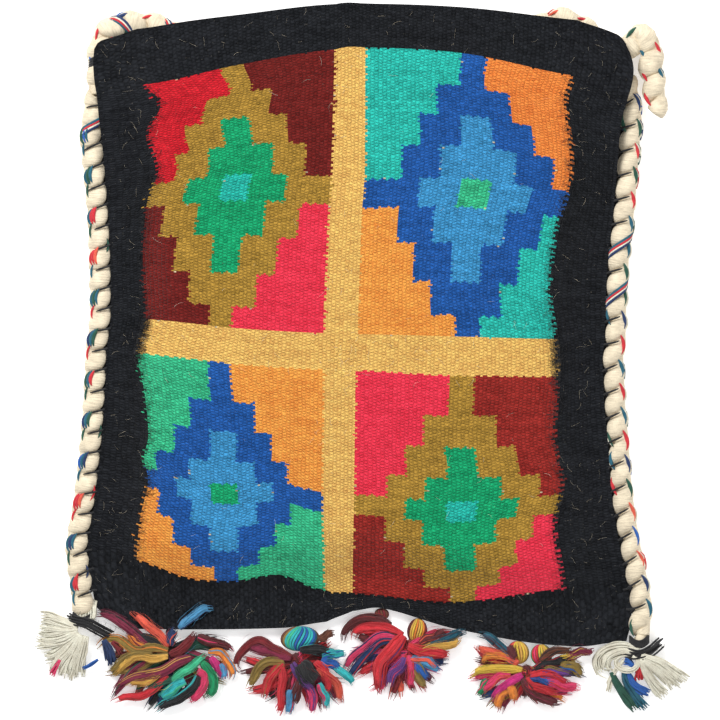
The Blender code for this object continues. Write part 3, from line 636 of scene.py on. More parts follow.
def front_colours():
    """The wool of every mesh cell of the front, with combed upright edges and ragged level ones."""
    names = list(WOOLS)
    columns = (front_columns[1:] + front_columns[:-1]) / 2
    rows = (front_rows[1:] + front_rows[:-1]) / 2
    picked = np.zeros((len(columns), len(rows)), int)
    for j, row in enumerate(rows):
        for i, column in enumerate(columns):
            width = columns[min(i + 1, len(columns) - 1)] - columns[min(i, len(columns) - 2)]
            near_border = min(abs(column - 1), abs(column - 4)) < 2.5 * width
            tooth, stray = (0.55, 0.5) if near_border else (0.3, 0.25)
            reach = (1 if comb[j] else -1) * tooth + rng.normal(0, stray)
            wobble = 0.0035 * math.sin(i * 1.57) + rng.normal(0, 0.0012)
            picked[i, j] = names.index(field_colour(column + reach * width, row + wobble))
    edge = np.zeros(picked.shape, bool)
    edge[1:] |= picked[1:] != picked[:-1]
    edge[:, 1:] |= picked[:, 1:] != picked[:, :-1]
    in_field = (columns[:, None] > 1.02) & (columns[:, None] < 3.98)
    pale = edge & in_field & (rng.random(picked.shape) < 0.008)
    picked[pale] = names.index("lint")
    return picked


picked = front_colours()
names = list(WOOLS)
changes = (picked[1:, :] != picked[:-1, :]).sum()
print("colour changes along the wefts:", int(changes))

# %% [markdown]
# The skin is sewn up from grids, with a strip of faces wherever two of them meet in different counts. Joining
# separate sheets with a modifier would leave seams, and a closed skin can be checked: it has no open edge and
# its volume is that of the wool.

# %% Build the pouch
back_columns = column_table(CELLS_ACROSS // 2)
back_rows = row_table(40)
inner_columns = back_columns[4:-4:3]
inner_rows = back_rows[:-6:3]
if inner_columns[-1] < back_columns[-5]:
    inner_columns = np.append(inner_columns, back_columns[-5])


def build_pouch():
    """One closed mesh: front, back, the inner faces, and the edges between them."""
    points, faces, slots, shades, weave = [], [], [], [], []

    def add_grid(grid):
        first = sum(len(block) for block in points)
        points.append(grid.reshape(-1, 3))
        return first + np.arange(grid.shape[0] * grid.shape[1]).reshape(grid.shape[:2])

    def add_skin(index, columns, rows, upward, slot, shade):
        a, b = index[:-1, :-1], index[:-1, 1:]
        c, d = index[1:, 1:], index[1:, :-1]
        quads = np.stack([a, b, c, d] if upward else [a, d, c, b], -1).reshape(-1, 4)
        faces.extend(map(tuple, quads.tolist()))
        slots.extend(slot.reshape(-1).tolist())
        shades.extend(shade.reshape(-1).tolist())
        u = np.interp(columns, front_columns, np.linspace(0, 0.306 / RIB, len(front_columns)))
        v = np.interp(rows, front_rows, np.linspace(0, 0.366 / BEAD, len(front_rows)))
        u, v = np.meshgrid(u, v, indexing="ij")
        uv = np.stack([u, v], -1)
        corners = [uv[:-1, :-1], uv[:-1, 1:], uv[1:, 1:], uv[1:, :-1]]
        corners = corners if upward else [corners[0], corners[3], corners[2], corners[1]]
        weave.append(np.stack(corners, 2).reshape(-1, 2))

    def add_face(corners):
        faces.append(tuple(int(k) for k in corners))
        slots.append(names.index("black"))
        shades.append(0.1)
        weave.append(np.zeros((len(corners), 2)))

    black = names.index("black")
    row_shade = 0.12 + np.repeat(rng.normal(0, 0.05, CELLS_DOWN // 2), 2)
    front_shade = row_shade[None, :] + rng.normal(0, 0.05, (CELLS_ACROSS, CELLS_DOWN))
    top = add_grid(front)
    add_skin(top, front_columns, front_rows, True, picked, front_shade)
    back_wave = (np.arange(len(back_columns)) % 2)[:, None] * 0.0004
    back = grid_points(
        back_columns, back_rows, lambda under, loft: under + back_wave * smooth(0, CLOTH, under)
    )
    bottom = add_grid(back)
    cells = (len(back_columns) - 1, len(back_rows) - 1)
    add_skin(bottom, back_columns, back_rows, False, np.full(cells, black), rng.normal(0.12, 0.05, cells))
    inner_cells = (len(inner_columns) - 1, len(inner_rows) - 1)
    plain, dull = np.full(inner_cells, black), np.full(inner_cells, 0.1)
    upper = add_grid(grid_points(inner_columns, inner_rows, lambda under, loft: under + CLOTH + loft))
    add_skin(upper, inner_columns, inner_rows, False, plain, dull)
    lower = add_grid(grid_points(inner_columns, inner_rows, lambda under, loft: under + CLOTH))
    add_skin(lower, inner_columns, inner_rows, True, plain, dull)

    def wall(first, first_places, second, second_places):
        """Faces between two edges that have different numbers of points."""
        i = j = 0
        while i < len(first) - 1 or j < len(second) - 1:
            ahead = first_places[i + 1] if i < len(first) - 1 else math.inf
            other = second_places[j + 1] if j < len(second) - 1 else math.inf
            if ahead <= other:
                add_face((first[i], first[i + 1], second[j]))
                i += 1
            else:
                add_face((first[i], second[j + 1], second[j]))
                j += 1

    wall(top[0], front_rows, bottom[0], back_rows)
    wall(bottom[-1], back_rows, top[-1], front_rows)
    wall(bottom[::-1, -1], -back_columns[::-1], top[::-1, -1], -front_columns[::-1])
    ends = (inner_columns[0], inner_columns[-1])
    f0, f1 = (int(np.argmin(abs(front_columns - e))) for e in ends)
    b0, b1 = (int(np.argmin(abs(back_columns - e))) for e in ends)
    wall(upper[:, 0], inner_columns, top[f0:f1 + 1, 0], front_columns[f0:f1 + 1])
    wall(bottom[b0:b1 + 1, 0], back_columns[b0:b1 + 1], lower[:, 0], inner_columns)
    add_face([*bottom[:b0 + 1, 0][::-1], *top[:f0 + 1, 0], upper[0, 0], lower[0, 0]])
    add_face([*bottom[b1:, 0][::-1], lower[-1, 0], upper[-1, 0], *top[f1:, 0]])
    wall(lower[0], inner_rows, upper[0], inner_rows)
    wall(upper[-1], inner_rows, lower[-1], inner_rows)
    wall(lower[:, -1], inner_columns, upper[:, -1], inner_columns)

    mesh = bpy.data.meshes.new("pouch_cloth")
    mesh.from_pydata(np.concatenate(points).tolist(), [], faces)
    for name in names:
        mesh.materials.append(wool[name])
    mesh.polygons.foreach_set("material_index", slots)
    mesh.uv_layers.new(name="weave")
    mesh.uv_layers["weave"].data.foreach_set("uv", np.concatenate(weave).reshape(-1))
    shade_layer = mesh.attributes.new("shade", "FLOAT", "FACE")
    shade_layer.data.foreach_set("value", shades)
    mesh.shade_smooth()
    pouch = bpy.data.objects.new("pouch_cloth", mesh)
    bpy.context.collection.objects.link(pouch)
    return pouch


pouch = build_pouch()
check = bmesh.new()
check.from_mesh(pouch.data)
open_edges = [e for e in check.edges if len(e.link_faces) != 2]
volume = check.calc_volume(signed=True)
check.free()
print("pouch faces:", len(pouch.data.polygons), "open edges:", len(open_edges))
print("volume of the wool in ml:", round(volume * 1e6))
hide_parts("woven_pouch")
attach(pouch, "root")

# %% [markdown]
# ## The rope
#
# A straight bundle of white and coloured yarns is the rope's core, and a fat strand of soft cotton winds
# round it, so the rope shows as a row of plump lumps that lean the same way. A curve with a round bevel would
# give a plain pipe. So every part of the rope is built from rings set along the same line, and these helpers
# read that line: how far along a point is, and which way is ahead, sideways and up.

# %% Lines and their frames
# The fat strand's distance from the rope's middle, then half its height and half its width.
STRAND_ORBIT = 0.0024
STRAND_THICK = 0.0045
STRAND_WIDE = 0.0057
# How far the core lies towards the rope's outer side, and its radius.
CORE_OFFSET = 0.0022
CORE_RADIUS = 0.0040


def places_on(line):
    """Distance along a line at each of its points."""
    return np.concatenate([[0], np.cumsum(np.linalg.norm(np.diff(line, axis=0), axis=1))])


def even_line(places, spacing):
    """A smooth line through given points, with points evenly spaced along it, and its length."""
    places = np.array(places, float)
    marks = places_on(places)
    at = np.linspace(0, marks[-1], max(4, round(marks[-1] / 0.001)))
    fine = np.stack([along(list(zip(marks, places[:, k])), at) for k in range(3)], -1)
    lengths = places_on(fine)
    at = np.linspace(0, lengths[-1], max(2, round(lengths[-1] / spacing)) + 1)
    return np.stack([np.interp(at, lengths, fine[:, k]) for k in range(3)], -1), lengths[-1]


def unit(vectors):
    """The same directions, each of length 1."""
    return vectors / np.linalg.norm(vectors, axis=1)[:, None]


def frames_of(line):
    """At each point of a line: the way ahead, a level side way, and the way up."""
    ahead = unit(np.gradient(line, axis=0))
    side = np.cross(ahead, [0, 0, 1.0])
    side[np.linalg.norm(side, axis=1) < 1e-6] = [1, 0, 0]
    side = unit(side)
    return ahead, side, np.cross(side, ahead)


print("strand height and width in mm:", round(STRAND_THICK * 2000, 1), round(STRAND_WIDE * 2000, 1))


# %% [markdown]
# Strand, yarns, stitches and hairs are all tubes, closed at both ends, and one object can hold thousands of
# them. Making an object of each would be slow, so the rings of all tubes are stacked into one mesh, and each
# tube keeps its own colour and its own map of fibres.

# %% Tubes
def add_mesh(name, blocks, materials):
    """One object from tube blocks of (rings, material index, distance along), each closed at its ends."""
    points, faces, slots, uv = [], [], [], []
    first = 0
    for rings, slot, places in blocks:
        count, sides = rings.shape[:2]
        points.append(rings.reshape(-1, 3))
        i, k = np.meshgrid(np.arange(count - 1), np.arange(sides), indexing="ij")
        n = (k + 1) % sides
        quads = np.stack([i * sides + k, (i + 1) * sides + k, (i + 1) * sides + n, i * sides + n], -1)
        faces.extend(map(tuple, (first + quads.reshape(-1, 4)).tolist()))
        along_now, along_next = places[i] * 1000, places[i + 1] * 1000
        turn, turn_next = k / sides, (k + 1) / sides
        first_side = (along_now, turn, along_next, turn)
        next_side = (along_next, turn_next, along_now, turn_next)
        corners = np.stack([*first_side, *next_side], -1)
        uv.append(corners.reshape(-1, 2))
        faces.append(tuple(range(first, first + sides)))
        faces.append(tuple(range(first + count * sides - 1, first + (count - 1) * sides - 1, -1)))
        uv.append(np.zeros((2 * sides, 2)))
        slots.extend([slot] * ((count - 1) * sides + 2))
        first += count * sides
    mesh = bpy.data.meshes.new(name)
    mesh.from_pydata(np.concatenate(points).tolist(), [], faces)
    for look in materials:
        mesh.materials.append(look)
    mesh.polygons.foreach_set("material_index", slots)
    mesh.uv_layers.new(name="spun")
    mesh.uv_layers["spun"].data.foreach_set("uv", np.concatenate(uv).reshape(-1))
    mesh.shade_smooth()
    made = bpy.data.objects.new(name, mesh)
    bpy.context.collection.objects.link(made)
    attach(made, "root")
    return made


def tube_rings(line, radius, sides=6):
    """Round rings of a tube along a line. radius is one number, or one for each point."""
    _, side, up = frames_of(line)
    around = np.arange(sides) * math.tau / sides
    radius = np.broadcast_to(np.asarray(radius, float), (len(line),))
    return (line[:, None, :] + side[:, None, :] * (np.cos(around)[None] * radius[:, None])[..., None]
            + up[:, None, :] * (np.sin(around)[None] * radius[:, None])[..., None])


short_line = np.array([(0, 0, 0), (0.001, 0, 0), (0.002, 0, 0)], float)
print("rings, points and coordinates of a short tube:", tube_rings(short_line, 0.001).shape)

# %% [markdown]
# One turn of the soft strand is one lump of the rope. A screw modifier could wind it, but not round a bend or
# unevenly, so its oval rings are set along a helix round the line, widest where they cross the top. Only one
# strand is wound, because the photograph shows one row of lumps.

# %% The fat strand
def wound_strand(line, lump, start_turn, sides=14, narrow=None, fat=1.0, seed=1):
    """The fat strand: its oval rings along a helix round the line, one turn in every lump."""
    local = np.random.default_rng(seed)
    _, side, up = frames_of(line)
    places = places_on(line)
    turn = (start_turn - places / lump * math.tau)[:, None]
    radial = side * np.cos(turn) + up * np.sin(turn)
    shrink = np.ones(len(line)) * fat if narrow is None else narrow
    centre = line + radial * (STRAND_ORBIT * shrink)[:, None]
    ahead = unit(np.gradient(centre, axis=0))
    across = unit(np.cross(ahead, radial))
    out = np.cross(across, ahead)
    swell = np.interp(places / lump * 2, np.arange(900), 1 + local.normal(0, 0.035, 900)) * shrink
    on_top = 0.84 + 0.16 * np.clip(np.sin(turn[:, 0]), 0, 1)
    around = np.arange(sides) * math.tau / sides
    thick = (np.cos(around)[None] * (STRAND_THICK * swell)[:, None])[..., None]
    wide = (np.sin(around)[None] * (STRAND_WIDE * swell * on_top)[:, None])[..., None]
    rings = centre[:, None, :] + out[:, None, :] * thick - across[:, None, :] * wide
    rings[..., 2] = np.maximum(rings[..., 2], 0.0002)
    return rings, places * 1.5


print("way round the rope in one turn of the strand, in mm:", round(math.tau * STRAND_ORBIT * 1000, 1))


# %% [markdown]
# Behind the lumps runs the straight core, set towards the rope's outer side. Its coloured yarns come to light
# there as thin crescents, one to three in each gap. They could be stripes in the core's finish, but they
# stand proud of it on the real rope and catch the light, so each is a tube of its own.

# %% The core and its coloured yarns
ROPE_LOOKS = ("cream", "ivory", "teal", "blue", "red", "dark_green", "navy", "coral", "black")
ACCENTS = ("teal", "coral", "teal", "dark_green", "red", "blue", "teal", "red", "dark_green", "navy")


def core_block(line, lump, outward, shrink=1.0):
    """The straight core, set towards one side of the rope, which swells a little between the lumps."""
    _, side, _ = frames_of(line)
    places = places_on(line)
    middle = line + side * outward * CORE_OFFSET * shrink
    swell = (CORE_RADIUS + 0.0002 * np.cos(places / lump * math.tau)) * shrink
    return tube_rings(middle, swell, 12), ROPE_LOOKS.index("cream"), places


def crescent_blocks(line, lump, start_turn, outward, inner=0.0, over=False, seed=1):
    """Coloured yarns where they come to light round each lump, inner being the share on the inner side.

    With over, every second lump has a broad set of them across its outer half instead.
    """
    local = np.random.default_rng(seed)
    _, side, _ = frames_of(line)
    places = places_on(line)
    blocks = []
    share = np.linspace(-1, 1, 11)
    top = (start_turn - math.pi / 2) / math.tau * lump
    for hand, chance in ((1, 1.0), (-1, inner)):
        first = math.ceil((0.008 - top) / lump + 0.40 * hand)
        nearest = top + (first - 0.40 * hand) * lump
        for lump_number, centre in enumerate(np.arange(nearest, places[-1] - 0.009, lump)):
            if local.random() > chance:
                continue
            start = local.integers(len(ACCENTS))
            broad = over and hand == 1 and lump_number % 2 == 0
            count = 3 if broad else 1 if over else local.choice([1, 2, 2, 3])
            for k in range(count):
                look = ACCENTS[(start + 3 * k) % len(ACCENTS)] if broad or k != 1 else "ivory"
                at = centre + share * lump * local.uniform(0.36, 0.44) + k * hand * 0.0006
                at = at + (0.24 * lump if broad else 0)
                spot = np.stack([np.interp(at, places, line[:, j]) for j in range(3)], -1)
                across = np.stack([np.interp(at, places, side[:, j]) for j in range(3)], -1)
                out = (0.0012 + 0.0014 * k if broad else 0.0038 + 0.0009 * k) + 0.0015 * (1 - share**2)
                out = np.minimum(out + 0.0006 * share * hand, 0.0062)
                reach = 0.0069 if broad else 0.0063
                path = spot + across * outward * hand * out[:, None]
                path[:, 2] = ROPE_RADIUS + np.sqrt(reach**2 - out**2)
                thick = local.uniform(0.0009, 0.0013) if broad or not over else 0.0007
                radius = thick * (1.02 - 0.75 * share**2)
                blocks.append((tube_rings(path, radius, 6), ROPE_LOOKS.index(look), places_on(path)))
    return blocks


print("colours that come to light:", ", ".join(sorted(set(ACCENTS))))

# %% [markdown]
# In a few places the strand parts and the whole bundle shows as a striped band across the rope. It could be
# a wider crescent, but on the real rope it reaches from side to side, so its yarns arch right over.

# %% Striped bands
def band_blocks(line, lump, start_turn, spots, looks=("teal", "red", "ivory", "navy"), lean=0.0032):
    """Yarns side by side that cross the whole rope in the creases nearest to some distances along it."""
    _, side, _ = frames_of(line)
    places = places_on(line)
    angles = np.linspace(0.30, math.pi - 0.30, 14)
    blocks = []
    for spot in spots:
        number = round((spot / lump * math.tau - start_turn - math.pi / 2) / math.tau)
        for k, look in enumerate(looks):
            at = (start_turn + math.pi - angles + math.tau * number) / math.tau * lump
            at = at + (k - 1.5) * 0.0013 - (angles - math.pi / 2) * lean
            middle = np.stack([np.interp(at, places, line[:, j]) for j in range(3)], -1)
            across = np.stack([np.interp(at, places, side[:, j]) for j in range(3)], -1)
            path = middle + across * (np.cos(angles) * 0.0068)[:, None]
            path[:, 2] += np.sin(angles) * (0.0068 + 0.0002 * (k % 2))
            size = 0.0009 * np.interp(angles, [0.3, 0.8, 2.3, 2.84], [0.3, 1, 1, 0.3])
            blocks.append((tube_rings(path, size, 6), ROPE_LOOKS.index(look), places_on(path)))
    return blocks


rope_materials = [yarn[name] for name in ROPE_LOOKS]
print("rope colours:", ", ".join(ROPE_LOOKS))

# %% [markdown]
# ## The strap
#
# The strap leaves the left side rope, turns over the corner of the mouth and goes beneath the pouch, where it
# lies in long turns. It comes out above the mouth's edge, dips under the right corner and ends at the right
# side rope. Its hidden turns could be left out, but a strap has a real length, so all of it is there, on the
# route of the CAD model.

# %% Strap
STRAP_ROUTE = (
    (-0.1568, 0.1597), (-0.1567, 0.1800), (-0.1558, 0.1893), (-0.1522, 0.1965), (-0.1455, 0.2012),
    (-0.1368, 0.2022), (-0.1180, 0.1992), (-0.1080, 0.1915), (-0.1000, 0.1790), (-0.0945, 0.1600),
    (-0.0950, 0.0800), (-0.0990, -0.0250), (-0.0905, -0.0600), (-0.0670, -0.0750), (-0.0435, -0.0600),
    (-0.0350, -0.0250), (-0.0355, 0.0850), (-0.0290, 0.1180), (-0.0040, 0.1335), (0.0210, 0.1180),
    (0.0280, 0.0850), (0.0290, -0.0250), (0.0375, -0.0600), (0.0610, -0.0750), (0.0845, -0.0600),
    (0.0930, -0.0250), (0.0875, 0.1550), (0.0930, 0.1830), (0.1055, 0.1988), (0.1200, 0.2042),
    (0.1335, 0.1988), (0.1430, 0.1890), (0.1525, 0.1842), (0.1590, 0.1866), (0.1635, 0.1918),
    (0.1690, 0.1943), (0.1731, 0.1900), (0.1742, 0.1800), (0.1764, 0.1600), (0.1782, 0.1490),
)
STRAP_LUMP = 0.0144
strap_line, strap_length = even_line([(x, y, ROPE_RADIUS) for x, y in STRAP_ROUTE], 0.0014)
strand_rings, strand_places = wound_strand(
    strap_line, STRAP_LUMP, 1.2, fat=1 + 0.20 * smooth(0.150, 0.180, strap_line[:, 1]), seed=4
)
strap = add_mesh("strap_rope", [(strand_rings, 0, strand_places)], rope_materials)
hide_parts("shoulder_strap")
strap_core = add_mesh(
    "strap_core",
    [core_block(strap_line, STRAP_LUMP, -1),
     *crescent_blocks(strap_line, STRAP_LUMP, 1.2, -1, inner=0.8, seed=6),
     *band_blocks(strap_line, STRAP_LUMP, 1.2, (0.047, 0.078)),
     *band_blocks(strap_line, STRAP_LUMP, 1.2, (0.022,), ("black",) * 4, 0.0)],
    rope_materials,
)
print("strap length in mm:", round(strap_length * 1000))

# %% [markdown]
# ## The side ropes and their sewing
#
# The same rope runs down both sides, against the cloth's edge. One black thread sews it on: it runs along the
# edge, comes out of the cloth once for each lump and lies in the crease as far as the rope's middle. Dark
# lines in the finish would do from far off, but a stitch presses into the crease, so each is a short tube.
# Along the edge lies a thick black tube. It is partly the cloth's black sewn edge and partly painted shade
# that darkens the deep creases between the lumps.

# %% Side ropes
EDGE_GAP = 0.0009
STITCH_RADIUS = 0.00062


def side_line(side, top, tuck, end):
    """The middle of a side rope, from its top to where it narrows into its binding."""
    rows = np.linspace(0, 5, 800)
    x, y, _, _ = cloth_xy(np.full_like(rows, 0.0 if side < 0 else 5.0), rows)
    keep = (y <= top) & (y > end[1] + 0.021)
    x, y = x[keep], y[keep]
    x = x + side * (ROPE_RADIUS + EDGE_GAP - tuck * smooth(top - 0.026, top, y))
    line = [(a, b, ROPE_RADIUS) for a, b in zip(x[::14], y[::14])]
    line += [(end[0], end[1] + 0.007, ROPE_RADIUS), (end[0], end[1], ROPE_RADIUS)]
    return even_line(line, 0.0011)[0]


def stitch_blocks(line, lump, start_turn, cloth_side):
    """A black edge tube, partly painted shade in the creases, and one stitch in each crease, up to the rope's
    middle.
    """
    _, side, _ = frames_of(line)
    places = places_on(line)
    # A thick black tube along the cloth's edge: partly its black sewn edge, partly painted shade in the
    # creases.
    black_edge_and_crease_shade = line[4:-16] + side[4:-16] * cloth_side * 0.0050
    black_edge_and_crease_shade[:, 2] = 0.0052
    blocks = [(tube_rings(black_edge_and_crease_shade, 0.0021, 8), ROPE_LOOKS.index("black"), places_on(black_edge_and_crease_shade))]
    first = -math.ceil(start_turn / math.tau)
    for number in range(first, first + round(places[-1] / lump) + 2):
        far = 2.5 if cloth_side < 0 and number < 6 + first else 2.0
        start, stop = (0.0, far) if cloth_side > 0 else (math.pi, math.pi - far)
        angles = np.linspace(start + 0.35 * (1 if stop > start else -1), stop, 7)
        at = (start_turn + math.pi - angles + math.tau * number) / math.tau * lump
        if at.min() < 0.003 or at.max() > places[-1] - 0.012:
            continue
        spot = np.stack([np.interp(at, places, line[:, k]) for k in range(3)], -1)
        sideways = np.stack([np.interp(at, places, side[:, k]) for k in range(3)], -1)
        reach = np.linspace(0.0074, 0.0061, 7)[:, None]
        rise = np.array([0, 0, 1]) * np.sin(angles)[:, None] * reach
        path = spot + sideways * np.cos(angles)[:, None] * reach + rise
        out_of_cloth = spot[0] + sideways[0] * cloth_side * (ROPE_RADIUS + 0.0022)
        out_of_cloth[2] = 0.0098
        path = even_line(np.concatenate([[out_of_cloth], path]), 0.0009)[0]
        taper = STITCH_RADIUS * np.interp(np.linspace(0, 1, len(path)), [0, 0.8, 1], [1.0, 1.0, 0.5])
        blocks.append((tube_rings(path, taper, 6), ROPE_LOOKS.index("black"), places_on(path)))
    return blocks


print("stitch thickness in mm:", STITCH_RADIUS * 2000)

# %% [markdown]
# The two ropes differ a little, as the hand that wound them did: the left one has shorter lumps and more
# colour, and each has its own top, tuck under the mouth's corner and end. Copying one rope over would lose
# that, so a loop builds both from their own values.

# %% Both side ropes
for name, side, top, tuck, end, lump, stitch_y, gapes in (
    ("left", -1, 0.1590, 0.0058, (-0.1667, -0.1560), 0.0123, -0.0405, (0.140,)),
    ("right", 1, 0.1685, 0.0095, (0.1672, -0.1700), 0.0145, 0.0215, (0.074, 0.042)),
):
    line = side_line(side, top, tuck, end)
    at_stitch = places_on(line)[np.argmin(abs(line[:, 1] - stitch_y))]
    cloth_side = -1 if side < 0 else 1
    start_turn = (math.pi if side < 0 else 0) - math.pi + at_stitch / lump * math.tau
    left_over = places_on(line)[-1] - places_on(line)
    narrow = 0.66 + 0.34 * smooth(0.003, 0.010, left_over)
    rings, places = wound_strand(line, lump, start_turn, narrow=narrow, seed=7 + side)
    rope = add_mesh(f"{name}_side_rope", [(rings, 0, places)], rope_materials)
    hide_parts(f"{name}_edge_rope")
    blocks = [core_block(line[:-5], lump, -cloth_side)]
    blocks += crescent_blocks(line, lump, start_turn, -cloth_side, inner=0.3, over=side < 0,
                              seed=11 + side)
    spots = [places_on(line)[np.argmin(abs(line[:, 1] - y))] for y in gapes]
    blocks += band_blocks(line, lump, start_turn, spots)
    core = add_mesh(f"{name}_side_core", blocks, rope_materials)
    # Besides the stitches, this holds the thick black edge tube, which is partly painted shade in the
    # creases.
    sewing_and_crease_shade = add_mesh(f"{name}_sewing", stitch_blocks(line, lump, start_turn, cloth_side), rope_materials)
    print(name, "side rope in mm:", round(places_on(line)[-1] * 1000), "faces", len(sewing_and_crease_shade.data.polygons))

# %% [markdown]
# ## Locks of yarn
#
# Tassels and fringes are cut yarn that clings together in locks and frays at the tip. Hair particles could
# fill a tassel, but would not become a plain mesh, and one smooth tube for each lock looks like plastic. So a
# lock has a soft body, strands on its surface that part towards the tip, and finer loose fibres round them.
# Its middle line rises over whatever lies beneath: the heap of the tassel, or the hem of the cloth.

# %% Locks
LOCK_LOOKS = list(YARNS)
lock_materials = [yarn[name] for name in LOCK_LOOKS]


def cloth_top(x, y):
    """The height of the cloth's front at one place, or 0 beside the cloth."""
    column, row = 0, -1
    for _ in range(2):
        column = int(np.argmin(abs(front[:, row, 0] - x)))
        row = int(np.argmin(abs(front[column, :, 1] - y)))
    near = front[column, row]
    return float(near[2]) if math.hypot(near[0] - x, near[1] - y) < 0.0025 else 0.0


def lock_line(points, middle, reach, height, rim, layer):
    """A lock's middle line over the heap, from its root to its tip. points are in millimetres."""
    flat = [(x * MM, y * MM) for x, y in points]
    far = [math.hypot(x - middle[0], y - middle[1]) for x, y in flat]
    if far[0] > far[-1]:
        flat = flat[::-1]
    line = even_line([(x, y, 0.0) for x, y in flat], 0.0016)[0]
    distance = np.hypot(line[:, 0] - middle[0], line[:, 1] - middle[1])
    line[:, 2] = rim + (height - rim) * (1 - smooth(0.1 * reach, 1.0 * reach, distance)) + layer
    over = np.array([cloth_top(x, y) for x, y, _ in line])
    lifted = np.where(over > 0, over + 0.0018, 0)
    spread = np.convolve(np.pad(lifted, 4, mode="edge"), np.ones(9) / 9, mode="valid")
    line[:, 2] = np.maximum(line[:, 2], np.maximum(lifted, spread))
    return line


print("height of the cloth's middle in mm:", round(cloth_top(0.0, 0.0) * 1000, 1))

# %% [markdown]
# The body keeps a lock from looking hollow, and stops short of the tip. Each strand drifts by itself and
# thins out, and about one in seven takes the neighbour's colour, as mixed yarns do.

# %% One lock
def lock_blocks(line, width, look, accent, local, strands=16, loose=22, flat=0.7):
    """One lock: a soft body, strands on it that fray at the tip, and loose fibres round it."""
    blocks = []
    _, side, up = frames_of(line)
    count = len(line)
    share = np.linspace(0, 1, count)
    taper = np.interp(share, [0, 0.15, 0.6, 0.85, 1], [0.6, 0.95, 1.0, 0.8, 0.45])
    sway = np.interp(share, np.linspace(0, 1, 5), local.normal(0, 0.0006, 5))
    middle = line + side * sway[:, None]
    middle[:, 2] = np.maximum(middle[:, 2], width * 0.36 * taper * flat + 0.0002)
    kept = max(5, int(count * 0.86))
    around = np.arange(8) * math.tau / 8
    body = width * 0.36 * taper * np.clip((1 - share) * 4, 0.25, 1)
    ring = body[:, None] * (1 + local.normal(0, 0.08, (count, 8)))
    rings = (middle[:, None, :] + side[:, None, :] * (np.cos(around)[None] * ring)[..., None]
             + up[:, None, :] * (np.sin(around)[None] * ring * flat)[..., None])
    blocks.append((rings[:kept], LOCK_LOOKS.index(look), places_on(middle[:kept])))
    for k in range(strands + loose):
        thread = k < strands
        angle = k * 2.4 + local.uniform(0, 0.8) + local.uniform(-1.3, 1.3) * share
        out = width / 2 * (local.uniform(0.66, 0.84) if thread else local.uniform(0.7, 1.3))
        drift = np.interp(share, [0, 0.3, 0.65, 1], [0, *local.normal(0, 0.0004 if thread else 0.0011, 3)])
        reach = out * (taper if thread else 0.4 + 0.6 * taper) + drift
        first = 0 if thread else local.integers(0, count // 2)
        last = max(first + 4, int(count * local.uniform(0.82 if thread else 0.6, 1.0)))
        path = middle + side * (np.cos(angle) * reach)[:, None] + up * (np.sin(angle) * reach * flat)[:, None]
        path = path[first:last]
        path[:, 2] = np.maximum(path[:, 2], 0.0005)
        thickness = width * local.uniform(0.055, 0.10) if thread else local.uniform(0.00007, 0.00013)
        sizes = thickness * np.interp(np.linspace(0, 1, len(path)), [0, 0.1, 0.6, 1], [0.7, 1, 0.9, 0.18])
        slot = LOCK_LOOKS.index(accent if local.random() < 0.14 else look)
        blocks.append((tube_rings(path, sizes, 4 if thread else 3), slot, places_on(path)))
    return blocks


print("lock colours:", len(LOCK_LOOKS))

# %% [markdown]
# ## The tassels
#
# Each tassel is a heap of thick soft yarns in many colours, tied at its middle. Scattering locks by chance
# would give a pompom, not these four, so a dark layer spreads flat out to the tassel's edge first. Its angles
# and reaches are nearly those of the CAD model's strands. They were chosen near to how far each tassel
# reaches in the photograph.

# %% The dark locks beneath
# Each lock: its angle in degrees and its reach in mm.
UNDER_LOCKS = (
    ((182, 39), (200, 43), (222, 47), (237, 37), (247, 39), (258, 38), (271, 33), (284, 32), (297, 35),
     (307, 38), (319, 36), (331, 40), (346, 39), (1, 38), (14, 30), (45, 7), (90, 7), (135, 7)),
    ((155, 31), (177, 37), (194, 38), (210, 38), (228, 33), (245, 34), (260, 33), (281, 30), (295, 34),
     (313, 36), (333, 30), (350, 25), (10, 24), (32, 22), (60, 5), (90, 5), (120, 5)),
    ((140, 26), (150, 33), (163, 36), (178, 36), (193, 36), (207, 37), (224, 34), (238, 33), (250, 32),
     (262, 30), (276, 26), (292, 27), (310, 25), (328, 24), (344, 25), (357, 26), (15, 33), (27, 25),
     (45, 6), (90, 6), (114, 6)),
    ((152, 36), (162, 34), (173, 30), (185, 36), (203, 35), (220, 32), (236, 29), (247, 20), (262, 15),
     (278, 14), (294, 19), (310, 26), (325, 29), (340, 31), (357, 36), (10, 34), (20, 32), (60, 5),
     (120, 5)),
)
UNDER_LOOKS = (
    ("maroon", "olive", "wine", "dark_green", "black", "navy", "dark_red", "black", "wine", "maroon"),
    ("dark_red", "red", "maroon", "red", "black", "pink", "maroon", "red", "dark_red", "wine"),
    ("dark_red", "red", "maroon", "pink", "navy", "red", "red", "pink", "dark_red", "coral"),
    ("red", "maroon", "orange", "pink", "navy", "olive", "wine", "red", "maroon", "dark_green"),
)
TASSEL_MIDDLES = ((-0.1150, -0.1740), (-0.0363, -0.1800), (0.0290, -0.1740), (0.1000, -0.1880))
print("dark locks:", sum(len(locks) for locks in UNDER_LOCKS))

# %% [markdown]
# The locks that catch the eye lie on top, in the order they were thrown. Each was followed in the
# photograph, with a few points from its root to its tip, so its points and its width stay in the photograph's
# pixels here, as they were picked, and two short functions turn them into millimetres.

# %% The locks on top
PHOTO_MIDDLE = 360.5


def from_photo(points):
    """Places in mm, to a tenth, of points picked in the photograph, which are pixels right and down."""
    return [
        (round((x - PHOTO_MIDDLE) * MM_PER_PIXEL, 1), round((PHOTO_MIDDLE - y) * MM_PER_PIXEL, 1))
        for x, y in points
    ]


def width_from_photo(pixels):
    """A width in mm, to a tenth, of one measured in the photograph."""
    return round(pixels * MM_PER_PIXEL, 1)


